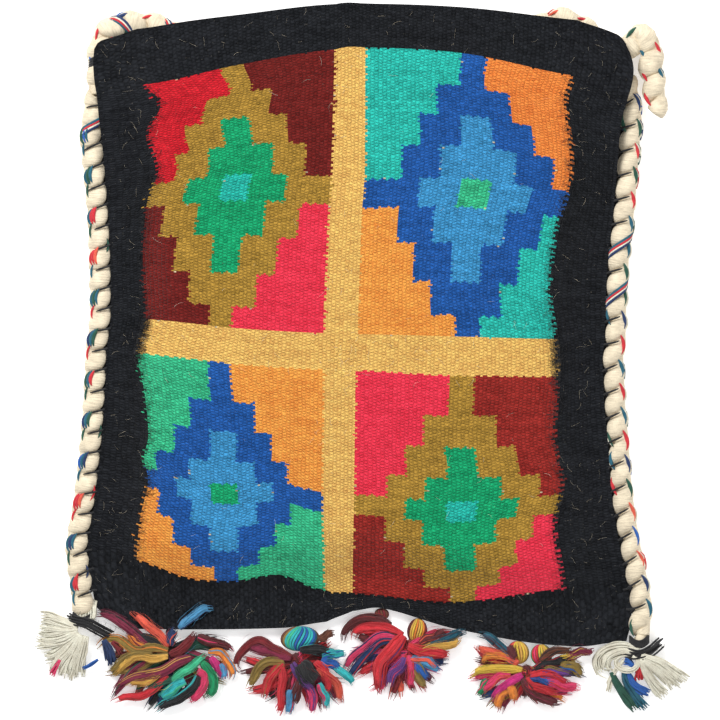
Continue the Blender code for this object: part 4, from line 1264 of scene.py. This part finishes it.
# The locks on top of each tassel: colour, width in pixels, and the pixels that it runs through.
TOP_LOCKS = (
    (
        ("black", 10, ((134, 637), (150, 640), (166, 648))),
        ("wine", 10, ((91, 617), (104, 614), (120, 622), (148, 644))),
        ("coral", 9, ((128, 610), (140, 619), (151, 629), (160, 637), (168, 647))),
        ("navy", 9, ((178, 627), (172, 634), (168, 645))),
        ("sky", 9, ((216, 608), (199, 612), (185, 620), (178, 627))),
        ("dark_red", 9, ((195.5, 629), (192, 637), (181, 647), (169.5, 655))),
        ("orange", 8, ((123, 633), (132, 637), (140, 644), (148.5, 648))),
        ("olive", 9, ((95, 651), (103.6, 641), (115, 638.5), (123, 641), (137, 650), (154, 648),
                      (168, 651))),
        ("olive", 9, ((104, 674), (123, 662), (137, 655), (152, 653))),
        ("gold", 10, ((109, 678), (120, 668), (131.6, 659.5), (144, 655), (157, 657), (168, 657.4))),
        ("dark_green", 9, ((144, 690), (158, 684), (174, 679))),
        ("red", 8, ((109, 703), (126, 697), (143, 693), (158, 684), (168, 676))),
        ("gold", 8, ((123, 686), (137, 682), (151, 679), (164, 672))),
        ("wine", 10, ((109, 692), (120, 685), (134, 678), (148.5, 675), (162.5, 671), (176.5, 662),
                      (190.6, 657))),
        ("mint", 8, ((171, 683), (179, 675), (190.6, 668), (202, 658), (207, 651))),
        ("turquoise", 13, ((158, 700), (168, 692), (176.5, 685), (185, 680.6))),
        ("black", 11, ((151, 713.6), (165, 704), (179, 696), (193, 686), (197.6, 676))),
        ("green", 10, ((203, 700), (211.6, 690), (213, 679), (207, 668), (202, 662))),
        ("pink", 10, ((185, 704), (196, 696), (203, 685), (204.6, 675), (197.6, 671))),
        ("maroon", 10, ((197.6, 637), (211.6, 641), (225.6, 645.5), (235.5, 654))),
        ("magenta", 8, ((210, 658), (218.6, 668), (221.4, 682))),
        ("sky", 8, ((220, 664), (223, 673), (225.6, 682))),
        ("orange", 9, ((209, 651), (218.6, 654), (227, 662), (230, 673.6), (228.5, 682))),
    ),
    (
        ("wine", 10, ((242, 646), (265, 650), (291, 658))),
        ("dark_red", 9, ((291, 658), (275, 648), (258, 640), (239, 653.6), (236, 667), (244, 673.5))),
        ("olive", 9, ((283.6, 660), (265, 664), (254.5, 676.5), (247, 692))),
        ("red", 9, ((284, 664), (274, 672), (268, 686), (262, 701))),
        ("red", 9, ((282, 666), (280.5, 686), (280.5, 704), (276.7, 718))),
        ("sky", 8, ((290, 690), (289, 702), (287, 717))),
        ("maroon", 10, ((297, 680), (296, 692), (294, 706))),
        ("black", 20, ((300, 664), (309, 674), (320, 682))),
        ("purple", 9, ((291, 664), (303.5, 680), (316, 695))),
        ("pink", 8, ((309, 686), (313, 698), (311, 716))),
        ("turquoise", 8, ((318, 684), (325, 698), (328, 711))),
        ("red", 9, ((316, 661), (325, 672), (328, 686), (320, 693))),
        ("coral", 8, ((318, 668), (328, 676.5), (337, 686), (342, 706))),
        ("blue", 10, ((322, 659), (333, 664), (342, 672))),
        ("turquoise", 9, ((322, 655), (336, 653), (349, 653))),
        ("turquoise", 9, ((334, 668), (345, 674), (356, 686))),
        ("black", 9, ((300, 651), (318, 650), (339, 655))),
        ("brown", 9, ((319, 640), (329, 636), (338, 634))),
    ),
    (
        ("maroon", 9, ((391, 624.5), (377, 618), (360, 620), (346, 630.6), (343, 646))),
        ("red", 11, ((403, 635), (388, 630.6), (372, 627.5), (357, 630.6), (352.5, 644))),
        ("navy", 9, ((395, 640), (381.5, 641), (368, 653.6), (355.5, 667), (343, 683))),
        ("pink", 9, ((395, 637), (383, 637), (368, 646), (352.5, 658), (342, 676.5))),
        ("purple", 9, ((403, 657), (400, 667), (391, 676.5), (388, 690))),
        ("red", 14, ((403, 635), (391, 650.5), (381.5, 666), (378.5, 686), (381.5, 695))),
        ("pink", 9, ((409, 655), (410.6, 666), (412, 680), (414, 692))),
        ("olive", 8, ((412, 668), (420, 680), (424, 691))),
        ("blue", 9, ((414, 662), (423, 672), (431, 680))),
        ("sky", 8, ((420, 660), (432, 666), (443, 671))),
        ("coral", 9, ((410.6, 657), (426, 661), (441, 669))),
        ("maroon", 8, ((420, 644), (435, 637), (449, 629))),
        ("teal", 8, ((430, 643), (447, 637), (469, 630.6))),
        ("gold", 9, ((418, 652), (430.5, 647.5), (452, 643), (464, 635))),
        ("red", 11, ((407.6, 647.5), (423, 650.5), (438, 653.6), (452, 657))),
    ),
    (
        ("teal", 9, ((475.5, 632), (486.7, 637), (498, 644), (506, 652), (515, 662))),
        ("coral", 9, ((472, 643.5), (482, 648), (494.6, 653), (509, 658), (518, 664))),
        ("pink", 8, ((480, 698), (485, 688), (496, 678.6), (510.6, 674))),
        ("green", 7, ((476, 698), (480, 690), (488, 680))),
        ("yellow", 9, ((467.5, 680), (477, 674), (491.5, 669), (507.4, 667.4), (521.7, 671.4))),
        ("orange", 8, ((483.5, 666), (486.7, 658), (498, 656), (510.6, 659))),
        ("orange", 8, ((510.6, 685), (512, 694), (513.8, 704))),
        ("orange", 8, ((506, 690), (501, 700), (499, 712))),
        ("magenta", 9, ((492, 704), (496, 694.5), (507.4, 685), (523, 675.4))),
        ("maroon", 10, ((524, 678), (533, 694.5), (549, 701), (565, 702))),
        ("red", 10, ((526, 678), (531, 685), (546, 690), (562, 693))),
        ("pink", 10, ((545, 680), (562, 685), (584, 688))),
        ("blue", 9, ((530, 678.6), (546, 680), (562, 683))),
        ("olive", 11, ((560, 664), (574, 668), (585, 678))),
        ("purple", 9, ((540, 672), (556, 672), (574, 675))),
        ("red", 10, ((530, 674), (546, 674), (562, 678.6), (573, 685))),
        ("black", 9, ((534.5, 669), (549, 662.6), (565, 659.4), (574.4, 664))),
        ("brown", 9, ((540, 660), (555, 652), (577, 650))),
        ("yellow", 6, ((560, 658), (570, 657), (579, 659))),
        ("wine", 8, ((565, 656), (580, 652), (597, 648))),
        ("maroon", 8, ((509, 643), (511, 650), (516, 657))),
    ),
)
print("locks on top:", sum(len(locks) for locks in TOP_LOCKS))

# %% [markdown]
# A tassel is then one mesh: its dark locks first, and each lock on top a little higher than the last, so that
# they cross as they fell. Letting them drop in a simulation would lose their places.

# %% Heap up the tassels
def heap(name, number):
    """All the locks of one tassel."""
    local = np.random.default_rng(40 + number)
    middle = TASSEL_MIDDLES[number]
    blocks = []
    for k, (angle, reach) in enumerate(UNDER_LOCKS[number]):
        way = Vector((math.cos(math.radians(angle)), math.sin(math.radians(angle))))
        bend = Vector((-way.y, way.x)) * local.uniform(-0.12, 0.12) * reach
        start = Vector(middle) * 1000
        points = [start - way * 2, start + way * reach * 0.5 + bend, start + way * (reach + 1.5)]
        line = lock_line([tuple(p) for p in points], middle, max(reach, 14) * MM, 0.0085, 0.0022, 0)
        look, accent = (UNDER_LOOKS[number][(k + j) % len(UNDER_LOOKS[number])] for j in (0, 1))
        blocks += lock_blocks(line, 0.0070, look, accent, local, strands=12, loose=10)
    for k, (look, width, points) in enumerate(TOP_LOCKS[number]):
        line = lock_line(from_photo(points), middle, 0.038, 0.0118, 0.0040, 0.00012 * k)
        accent = TOP_LOCKS[number][k - 1][0]
        blocks += lock_blocks(line, width_from_photo(width) * 1.1 * MM, look, accent, local)
    return add_mesh(name, blocks, lock_materials)


for number in range(4):
    tassel = heap(f"tassel_{number + 1}_yarns", number)
    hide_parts(f"tassel_{number + 1}")
    print(tassel.name, "faces", len(tassel.data.polygons))

# %% [markdown]
# ## Beads and knots
#
# The tassels hang from small cores wound with coloured yarn, from pole to pole. A ball with stripes in its
# finish would be round and smooth, so each turn of yarn is a tube of its own, which gives the bead the
# outline and the shading of a wound ball. A plain core fills it.

# %% Beads
BEADS = {
    # name: middle (x, y), half width, half length, lean of the windings, looks from its left rim to its right
    "turquoise_bead": ((-0.0363, -0.1669), 0.0112, 0.0072, 0.5,
                       ("brown", "brown", "olive", "turquoise", "mint", "turquoise", "turquoise", "blue",
                        "turquoise", "blue", "turquoise", "turquoise", "blue", "teal", "brown", "brown")),
    "gold_bead": ((0.0340, -0.1623), 0.0056, 0.0074, 0.5,
                  ("maroon", "maroon", "gold", "yellow", "orange", "gold", "yellow", "orange", "dark_red",
                   "maroon")),
    "brown_knob": ((0.0128, -0.1520), 0.0040, 0.0031, -0.3,
                   ("maroon", "brown", "dark_red", "brown", "dark_red", "brown", "maroon")),
    "left_yellow_bead": ((0.0945, -0.1752), 0.0062, 0.0066, -0.25,
                         ("dark_red", "red", "coral", "yellow", "yellow", "gold", "yellow", "gold", "olive")),
    "right_yellow_bead": ((0.1085, -0.1767), 0.0060, 0.0062, -0.25,
                          ("green", "red", "pink", "red", "yellow", "yellow", "gold", "yellow", "olive",
                           "dark_green")),
}


def wound_bead(name, middle, half_width, half_length, lean, looks):
    """A flattened core with one thread for each look laid over it, from one end to the other."""
    high = 0.78 * min(half_width, half_length)
    tall = np.radians(np.linspace(-82, 82, 15))
    core_y = middle[1] + half_length * 0.92 * np.sin(tall)
    core = np.stack([np.full(15, middle[0]), core_y, np.full(15, high)], -1)
    around = np.arange(14) * math.tau / 14
    ring = np.stack([half_width * np.cos(around), np.zeros(14), -high * np.sin(around)], -1)
    rings = core[:, None, :] + ring[None] * 0.92 * np.cos(tall)[:, None, None]
    blocks = [(rings, LOCK_LOOKS.index(looks[0]), places_on(core))]
    for k, look in enumerate(looks):
        lie_at = math.radians(-84 + 168 * (k + 0.5) / len(looks))
        angle = lie_at + lean * tall / 1.4
        path = np.stack([middle[0] + half_width * np.sin(angle) * np.cos(tall),
                         middle[1] + half_length * np.sin(tall),
                         high + high * np.cos(angle) * np.cos(tall)], -1)
        thick = 1.15 * half_width / len(looks) * (0.45 + 0.55 * np.cos(tall))
        blocks.append((tube_rings(path, thick, 6), LOCK_LOOKS.index(look), places_on(path)))
    return add_mesh(f"{name}_windings", blocks, lock_materials)


for name, shape in BEADS.items():
    bead = wound_bead(name, *shape)
    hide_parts(name)
print("beads:", ", ".join(BEADS))

# %% [markdown]
# The left tassel has no bead. It hangs from a short end of yarn, three plies twisted together. One tube with
# a twist in its finish would look smooth close up, so the plies are three tubes, at the solid's place.

# %% The hanger
hanger_low, hanger_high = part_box("tassel_1_hanger")
hanger_x = (hanger_low[0] + hanger_high[0]) / 2
blocks = []
for k, look in enumerate(("dark_red", "maroon", "orange")):
    angle = np.linspace(0, 5, 12) + k * math.tau / 3
    path = np.stack([hanger_x + 0.0011 * np.cos(angle), np.linspace(hanger_high[1], hanger_low[1], 12),
                     0.0040 + 0.0010 * np.sin(angle)], -1)
    blocks.append((tube_rings(path, 0.0009), LOCK_LOOKS.index(look), places_on(path)))
hanger = add_mesh("hanger_yarns", blocks, lock_materials)
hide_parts("tassel_1_hanger")
print("hanger length in mm:", round((hanger_high[1] - hanger_low[1]) * 1000, 1))

# %% [markdown]
# ## Bindings and fringes at the rope's ends
#
# Black thread is wound round each end of the rope, and the rest of it sags across the front. A dark band
# could be painted on the rope, but the thread stands out from it, so it is wound as one long tube, with loose
# threads laid side by side over it.

# %% Bindings
def binding_blocks(end, turns, front_path):
    """Rings of black thread round the rope's neck, and a few threads that sag across its front."""
    blocks = []
    around = np.linspace(0, math.tau * turns, 20 * turns)
    path = np.stack([end[0] + 0.0056 * np.cos(around),
                     end[1] + 0.0050 - 0.0040 * around / around[-1] - 0.0034 * np.sin(around) ** 2,
                     ROPE_RADIUS + 0.0056 * np.sin(around)], -1)
    blocks.append((tube_rings(path, 0.0007), LOCK_LOOKS.index("black"), places_on(path)))
    local = np.random.default_rng(3)
    for k in range(14):
        shift = Vector((local.normal(0, 1.2), (k - 6.5) * 0.40))
        points = [(x * MM + shift.x * MM, y * MM + shift.y * MM, z * MM + local.normal(0, 0.0003))
                  for x, y, z in front_path]
        path = even_line(points, 0.0015)[0]
        blocks.append((tube_rings(path, 0.00055), LOCK_LOOKS.index("black"), places_on(path)))
    return blocks


BINDINGS = {
    "left": ((-0.1667, -0.1560), ((-174.0, -154.5, 6.0), (-170.5, -156.2, 11.5), (-164.0, -157.6, 13.8),
                                  (-157.5, -161.0, 9.5), (-150.0, -165.0, 3.0))),
    "right": ((0.1672, -0.1700), ((154.5, -171.8, 5.0), (161.0, -175.5, 10.5), (167.5, -176.8, 13.5),
                                  (174.0, -173.8, 10.5), (179.5, -169.0, 4.0))),
}
for name, (end, front_path) in BINDINGS.items():
    binding = add_mesh(f"{name}_binding", binding_blocks(end, 5, front_path), lock_materials)
    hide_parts(f"{name}_rope_whipping")
print("bindings:", ", ".join(BINDINGS))

# %% [markdown]
# Beyond the binding the rope is unlaid: its fine cotton yarns fan out on the table, and on the right the
# coloured ones hang out in a bundle beside a small ring of cotton. A flat fan with a striped finish would
# cast no shadows between the yarns, so they are locks too, given in the photograph's pixels. The
# ring is round, so it comes from a formula.

# %% Fringes
RING_MIDDLE = (627, 662.6)
RING_HALF_SIZE = (11, 7.5)
RING_POINTS = 12


def cotton_ring():
    """The pixels that the small ring of cotton runs through, from its upper right round to its top."""
    angles = [math.radians(-60 + 360 / RING_POINTS * k) for k in range(RING_POINTS)]
    return [
        (RING_MIDDLE[0] + RING_HALF_SIZE[0] * math.cos(a), RING_MIDDLE[1] + RING_HALF_SIZE[1] * math.sin(a))
        for a in angles
    ]


# Each fringe: the rope's end in metres, then colour, width in pixels, strands and pixels of every lock.
FRINGES = {
    "left": ((-0.1667, -0.1615), (
        ("ivory", 22, 14, ((86, 596), (86, 610), (87, 624))),
        ("ivory", 11, 9, ((80, 634), (64, 648), (52, 656), (42, 658))),
        ("ivory", 12, 10, ((78, 628), (60, 622), (48, 618), (38, 618))),
        ("ivory", 10, 8, ((78, 630), (58, 630), (44, 630), (36, 629))),
        ("ivory", 12, 10, ((78, 632), (60, 640), (46, 642), (33, 640))),
        ("ivory", 12, 9, ((80, 634), (70, 650), (60, 662), (54, 676))),
        ("ivory", 12, 9, ((82, 636), (76, 652), (70, 668), (66, 682))),
        ("ivory", 12, 9, ((86, 636), (82, 650), (78, 668), (78, 680))),
        ("pink", 4, 3, ((60, 660), (54, 670), (50, 678))),
        ("blue", 3, 2, ((98, 659.5), (90, 665), (80, 669))),
        ("navy", 9, 6, ((104, 640), (109, 652), (112, 668))),
        ("dark_red", 7, 5, ((112, 642), (118, 648), (124, 657))),
    )),
    "right": ((0.1672, -0.1755), (
        ("ivory", 9, 6, ((640, 650), (622, 646), (606, 650), (597, 660), (600, 672), (610, 677))),
        ("ivory", 8, 6, ((640, 654), (622, 652), (608, 658), (606, 668), (614, 674))),
        ("ivory", 4, 4, ((624, 660), (617, 669), (611, 680), (607, 694.5))),
        ("dark_green", 9, 7, ((612, 672), (616, 682), (626, 697), (638, 712))),
        ("teal", 8, 6, ((624, 668), (626, 680), (636, 696), (648, 711))),
        ("blue", 7, 5, ((628, 672), (634, 684), (643, 690), (652, 694))),
        ("red", 7, 5, ((636, 664), (638, 672), (640, 683))),
        ("ivory", 11, 9, ((640, 660), (648, 676), (657, 688), (667, 699))),
        ("ivory", 10, 8, ((640, 658), (654, 668), (668, 680), (676, 690))),
        ("ivory", 12, 11, ((641, 656), (656, 662), (672, 672), (687.6, 684))),
        ("blue", 6, 4, ((622, 660), (628, 662), (633, 666))),
        ("ivory", 4.5, 5, cotton_ring()),
    )),
}
print("locks in the fringes:", {name: len(locks) for name, (_, locks) in FRINGES.items()})

# %% [markdown]
# A lock of a fringe is finer than one of a tassel: even yarns in three loose layers over a thin flat body,
# which part towards their ends. The same lock as in the tassels would be too plump for combed-out cotton.

# %% Fan out the fringes
def fan_blocks(line, width, look, local, strands):
    """One lock of a fringe: fine even yarns that part towards their ends, in three loose layers."""
    blocks = []
    _, side, _ = frames_of(line)
    share = np.linspace(0, 1, len(line))
    slot = LOCK_LOOKS.index(look)
    around = np.arange(8) * math.tau / 8
    body = width * 0.40 * np.interp(share, [0, 0.25, 0.7, 1], [0.45, 0.8, 0.95, 0.3])
    ring = body[:, None] * np.cos(around)
    rings = line[:, None, :] + side[:, None, :] * ring[..., None]
    rings[..., 2] = np.maximum(line[:, None, 2] + 0.0006 * np.sin(around), 0.0004)
    kept = int(len(line) * 0.85)
    blocks.append((rings[:kept], slot, places_on(line)[:kept]))
    for layer in range(3):
        for k in range(strands):
            out = width / 2 * ((2 * k + 1 + local.uniform(-0.8, 0.8)) / strands - 1)
            gather = np.interp(share, [0, 0.25, 0.7, 1], [0.45, 0.8, 1.05, 1.3])
            drift = np.interp(share, [0, 0.35, 0.7, 1], [0, *local.normal(0, 0.0005, 3)])
            path = line + side * (out * gather + drift)[:, None]
            path[:, 2] += 0.0011 - 0.0010 * layer + 0.0008 * (1 - (out * 2 / width) ** 2)
            path = path[:max(4, int(len(line) * local.uniform(0.76, 1.0)))]
            path[:, 2] = np.maximum(path[:, 2], 0.0007)
            thinned = np.interp(np.linspace(0, 1, len(path)), [0, 0.85, 1], [1, 1, 0.5])
            sizes = 0.00058 * local.uniform(0.8, 1.2) * thinned
            blocks.append((tube_rings(path, sizes, 5), slot, places_on(path)))
    return blocks


for name, (middle, locks) in FRINGES.items():
    local = np.random.default_rng(60)
    blocks = []
    for k, (look, width, strands, points) in enumerate(locks):
        line = lock_line(from_photo(points), middle, 0.030, 0.0100, 0.0020, 0.00018 * k)
        blocks += fan_blocks(line, width_from_photo(width) * MM, look, local, strands)
    fringe = add_mesh(f"{name}_fringe", blocks, lock_materials)
    print(fringe.name, "faces", len(fringe.data.polygons))

# %% [markdown]
# ## Loose hairs
#
# Hand-spun wool sheds. Pale hairs lie all over the black border, black ones reach from it over the coloured
# field, and the field has a little fuzz of its own. A hair system could grow them, but hairs that have come
# loose lie on the cloth, curled and nearly flat, so each is a thin tube laid there by chance.

# %% Hairs
HAIR_RADIUS = 0.00007


def hair_block(x, y, length, look, local, radius=HAIR_RADIUS, way=None):
    """One curled fibre that lies on the cloth."""
    heading = local.uniform(0, math.tau) if way is None else way + local.normal(0, 0.6)
    bend = local.normal(0, 0.8)
    share = np.linspace(0, 1, 6)
    turn = heading + bend * share
    path = np.stack([x + np.cumsum(np.cos(turn)) * length / 6, y + np.cumsum(np.sin(turn)) * length / 6,
                     np.zeros(6)], -1)
    ground = np.array([cloth_top(a, b) for a, b, _ in path])
    arch = 0.0012 * np.sin(share * math.pi) * local.uniform(0.2, 1)
    path[:, 2] = np.maximum(ground.max(), 0.004) + 0.0003 + arch
    return tube_rings(path, radius, 3), LOCK_LOOKS.index(look), places_on(path)


local = np.random.default_rng(90)
blocks = []
for _ in range(230):
    column = local.uniform(0.15, 0.95) if local.random() < 0.5 else local.uniform(4.05, 4.85)
    row = float(np.interp(local.random(), [0, 0.1, 0.5, 0.55, 0.95, 1], [0.1, 1, 2, 3, 4, 4.8]))
    if local.random() < 0.4:
        row = local.uniform(0.15, 0.9) if local.random() < 0.5 else local.uniform(4.1, 4.8)
        column = float(np.interp(local.random(), [0, 0.07, 0.5, 0.56, 0.93, 1], [0.2, 1, 2, 3, 4, 4.8]))
    x, y, _, _ = cloth_xy(np.array([column]), np.array([row]))
    blocks.append(hair_block(x[0], y[0], local.uniform(0.002, 0.008), "cream", local,
                             radius=local.uniform(0.00002, 0.00005)))
for _ in range(900):
    line_number = local.choice([1, 4])
    row = local.uniform(1.0, 4.0)
    inward = 0 if line_number == 1 else math.pi
    x, y, _, _ = cloth_xy(np.array([line_number + (0.004 if inward == 0 else -0.004)]), np.array([row]))
    start = x[0] - 0.003 * math.cos(inward)
    blocks.append(hair_block(start, y[0], local.uniform(0.004, 0.009), "black", local,
                             radius=0.00011, way=inward))
for _ in range(260):
    x, y, _, _ = cloth_xy(np.array([local.uniform(1.05, 3.95)]), np.array([local.uniform(1.05, 3.95)]))
    look = "ivory" if local.random() < 0.6 else "black"
    blocks.append(hair_block(x[0], y[0], local.uniform(0.002, 0.008), look, local, radius=0.00005))
hairs = add_mesh("cloth_hairs", blocks, lock_materials)
print("hairs on the cloth:", len(blocks))

# %% [markdown]
# The black binding thread is woolly, so short fibres stand off it on all sides. Noise in its finish would not
# break its outline, so these are tubes too, scattered along the threads that sag across the front.

# %% Fuzz of the bindings
blocks = []
for name, (end, front_path) in BINDINGS.items():
    band = even_line([(x * MM, y * MM, z * MM) for x, y, z in front_path], 0.0004)[0]
    for spot in band[local.integers(0, len(band), 110)]:
        share = np.linspace(0, 1, 5)
        way = local.uniform(0, math.tau)
        bend = way + local.normal(0, 1.2) * share
        length = local.uniform(0.002, 0.005)
        path = np.stack([spot[0] + local.normal(0, 0.0008) + np.cumsum(np.cos(bend)) * length / 5,
                         spot[1] + local.normal(0, 0.0016) + np.cumsum(np.sin(bend)) * length / 5,
                         np.maximum(spot[2] + 0.0006 - 0.002 * share, 0.0006)], -1)
        blocks.append((tube_rings(path, 0.00013, 3), LOCK_LOOKS.index("black"), places_on(path)))
fuzz = add_mesh("binding_fuzz", blocks, lock_materials)
print("fibres of the bindings:", len(blocks))
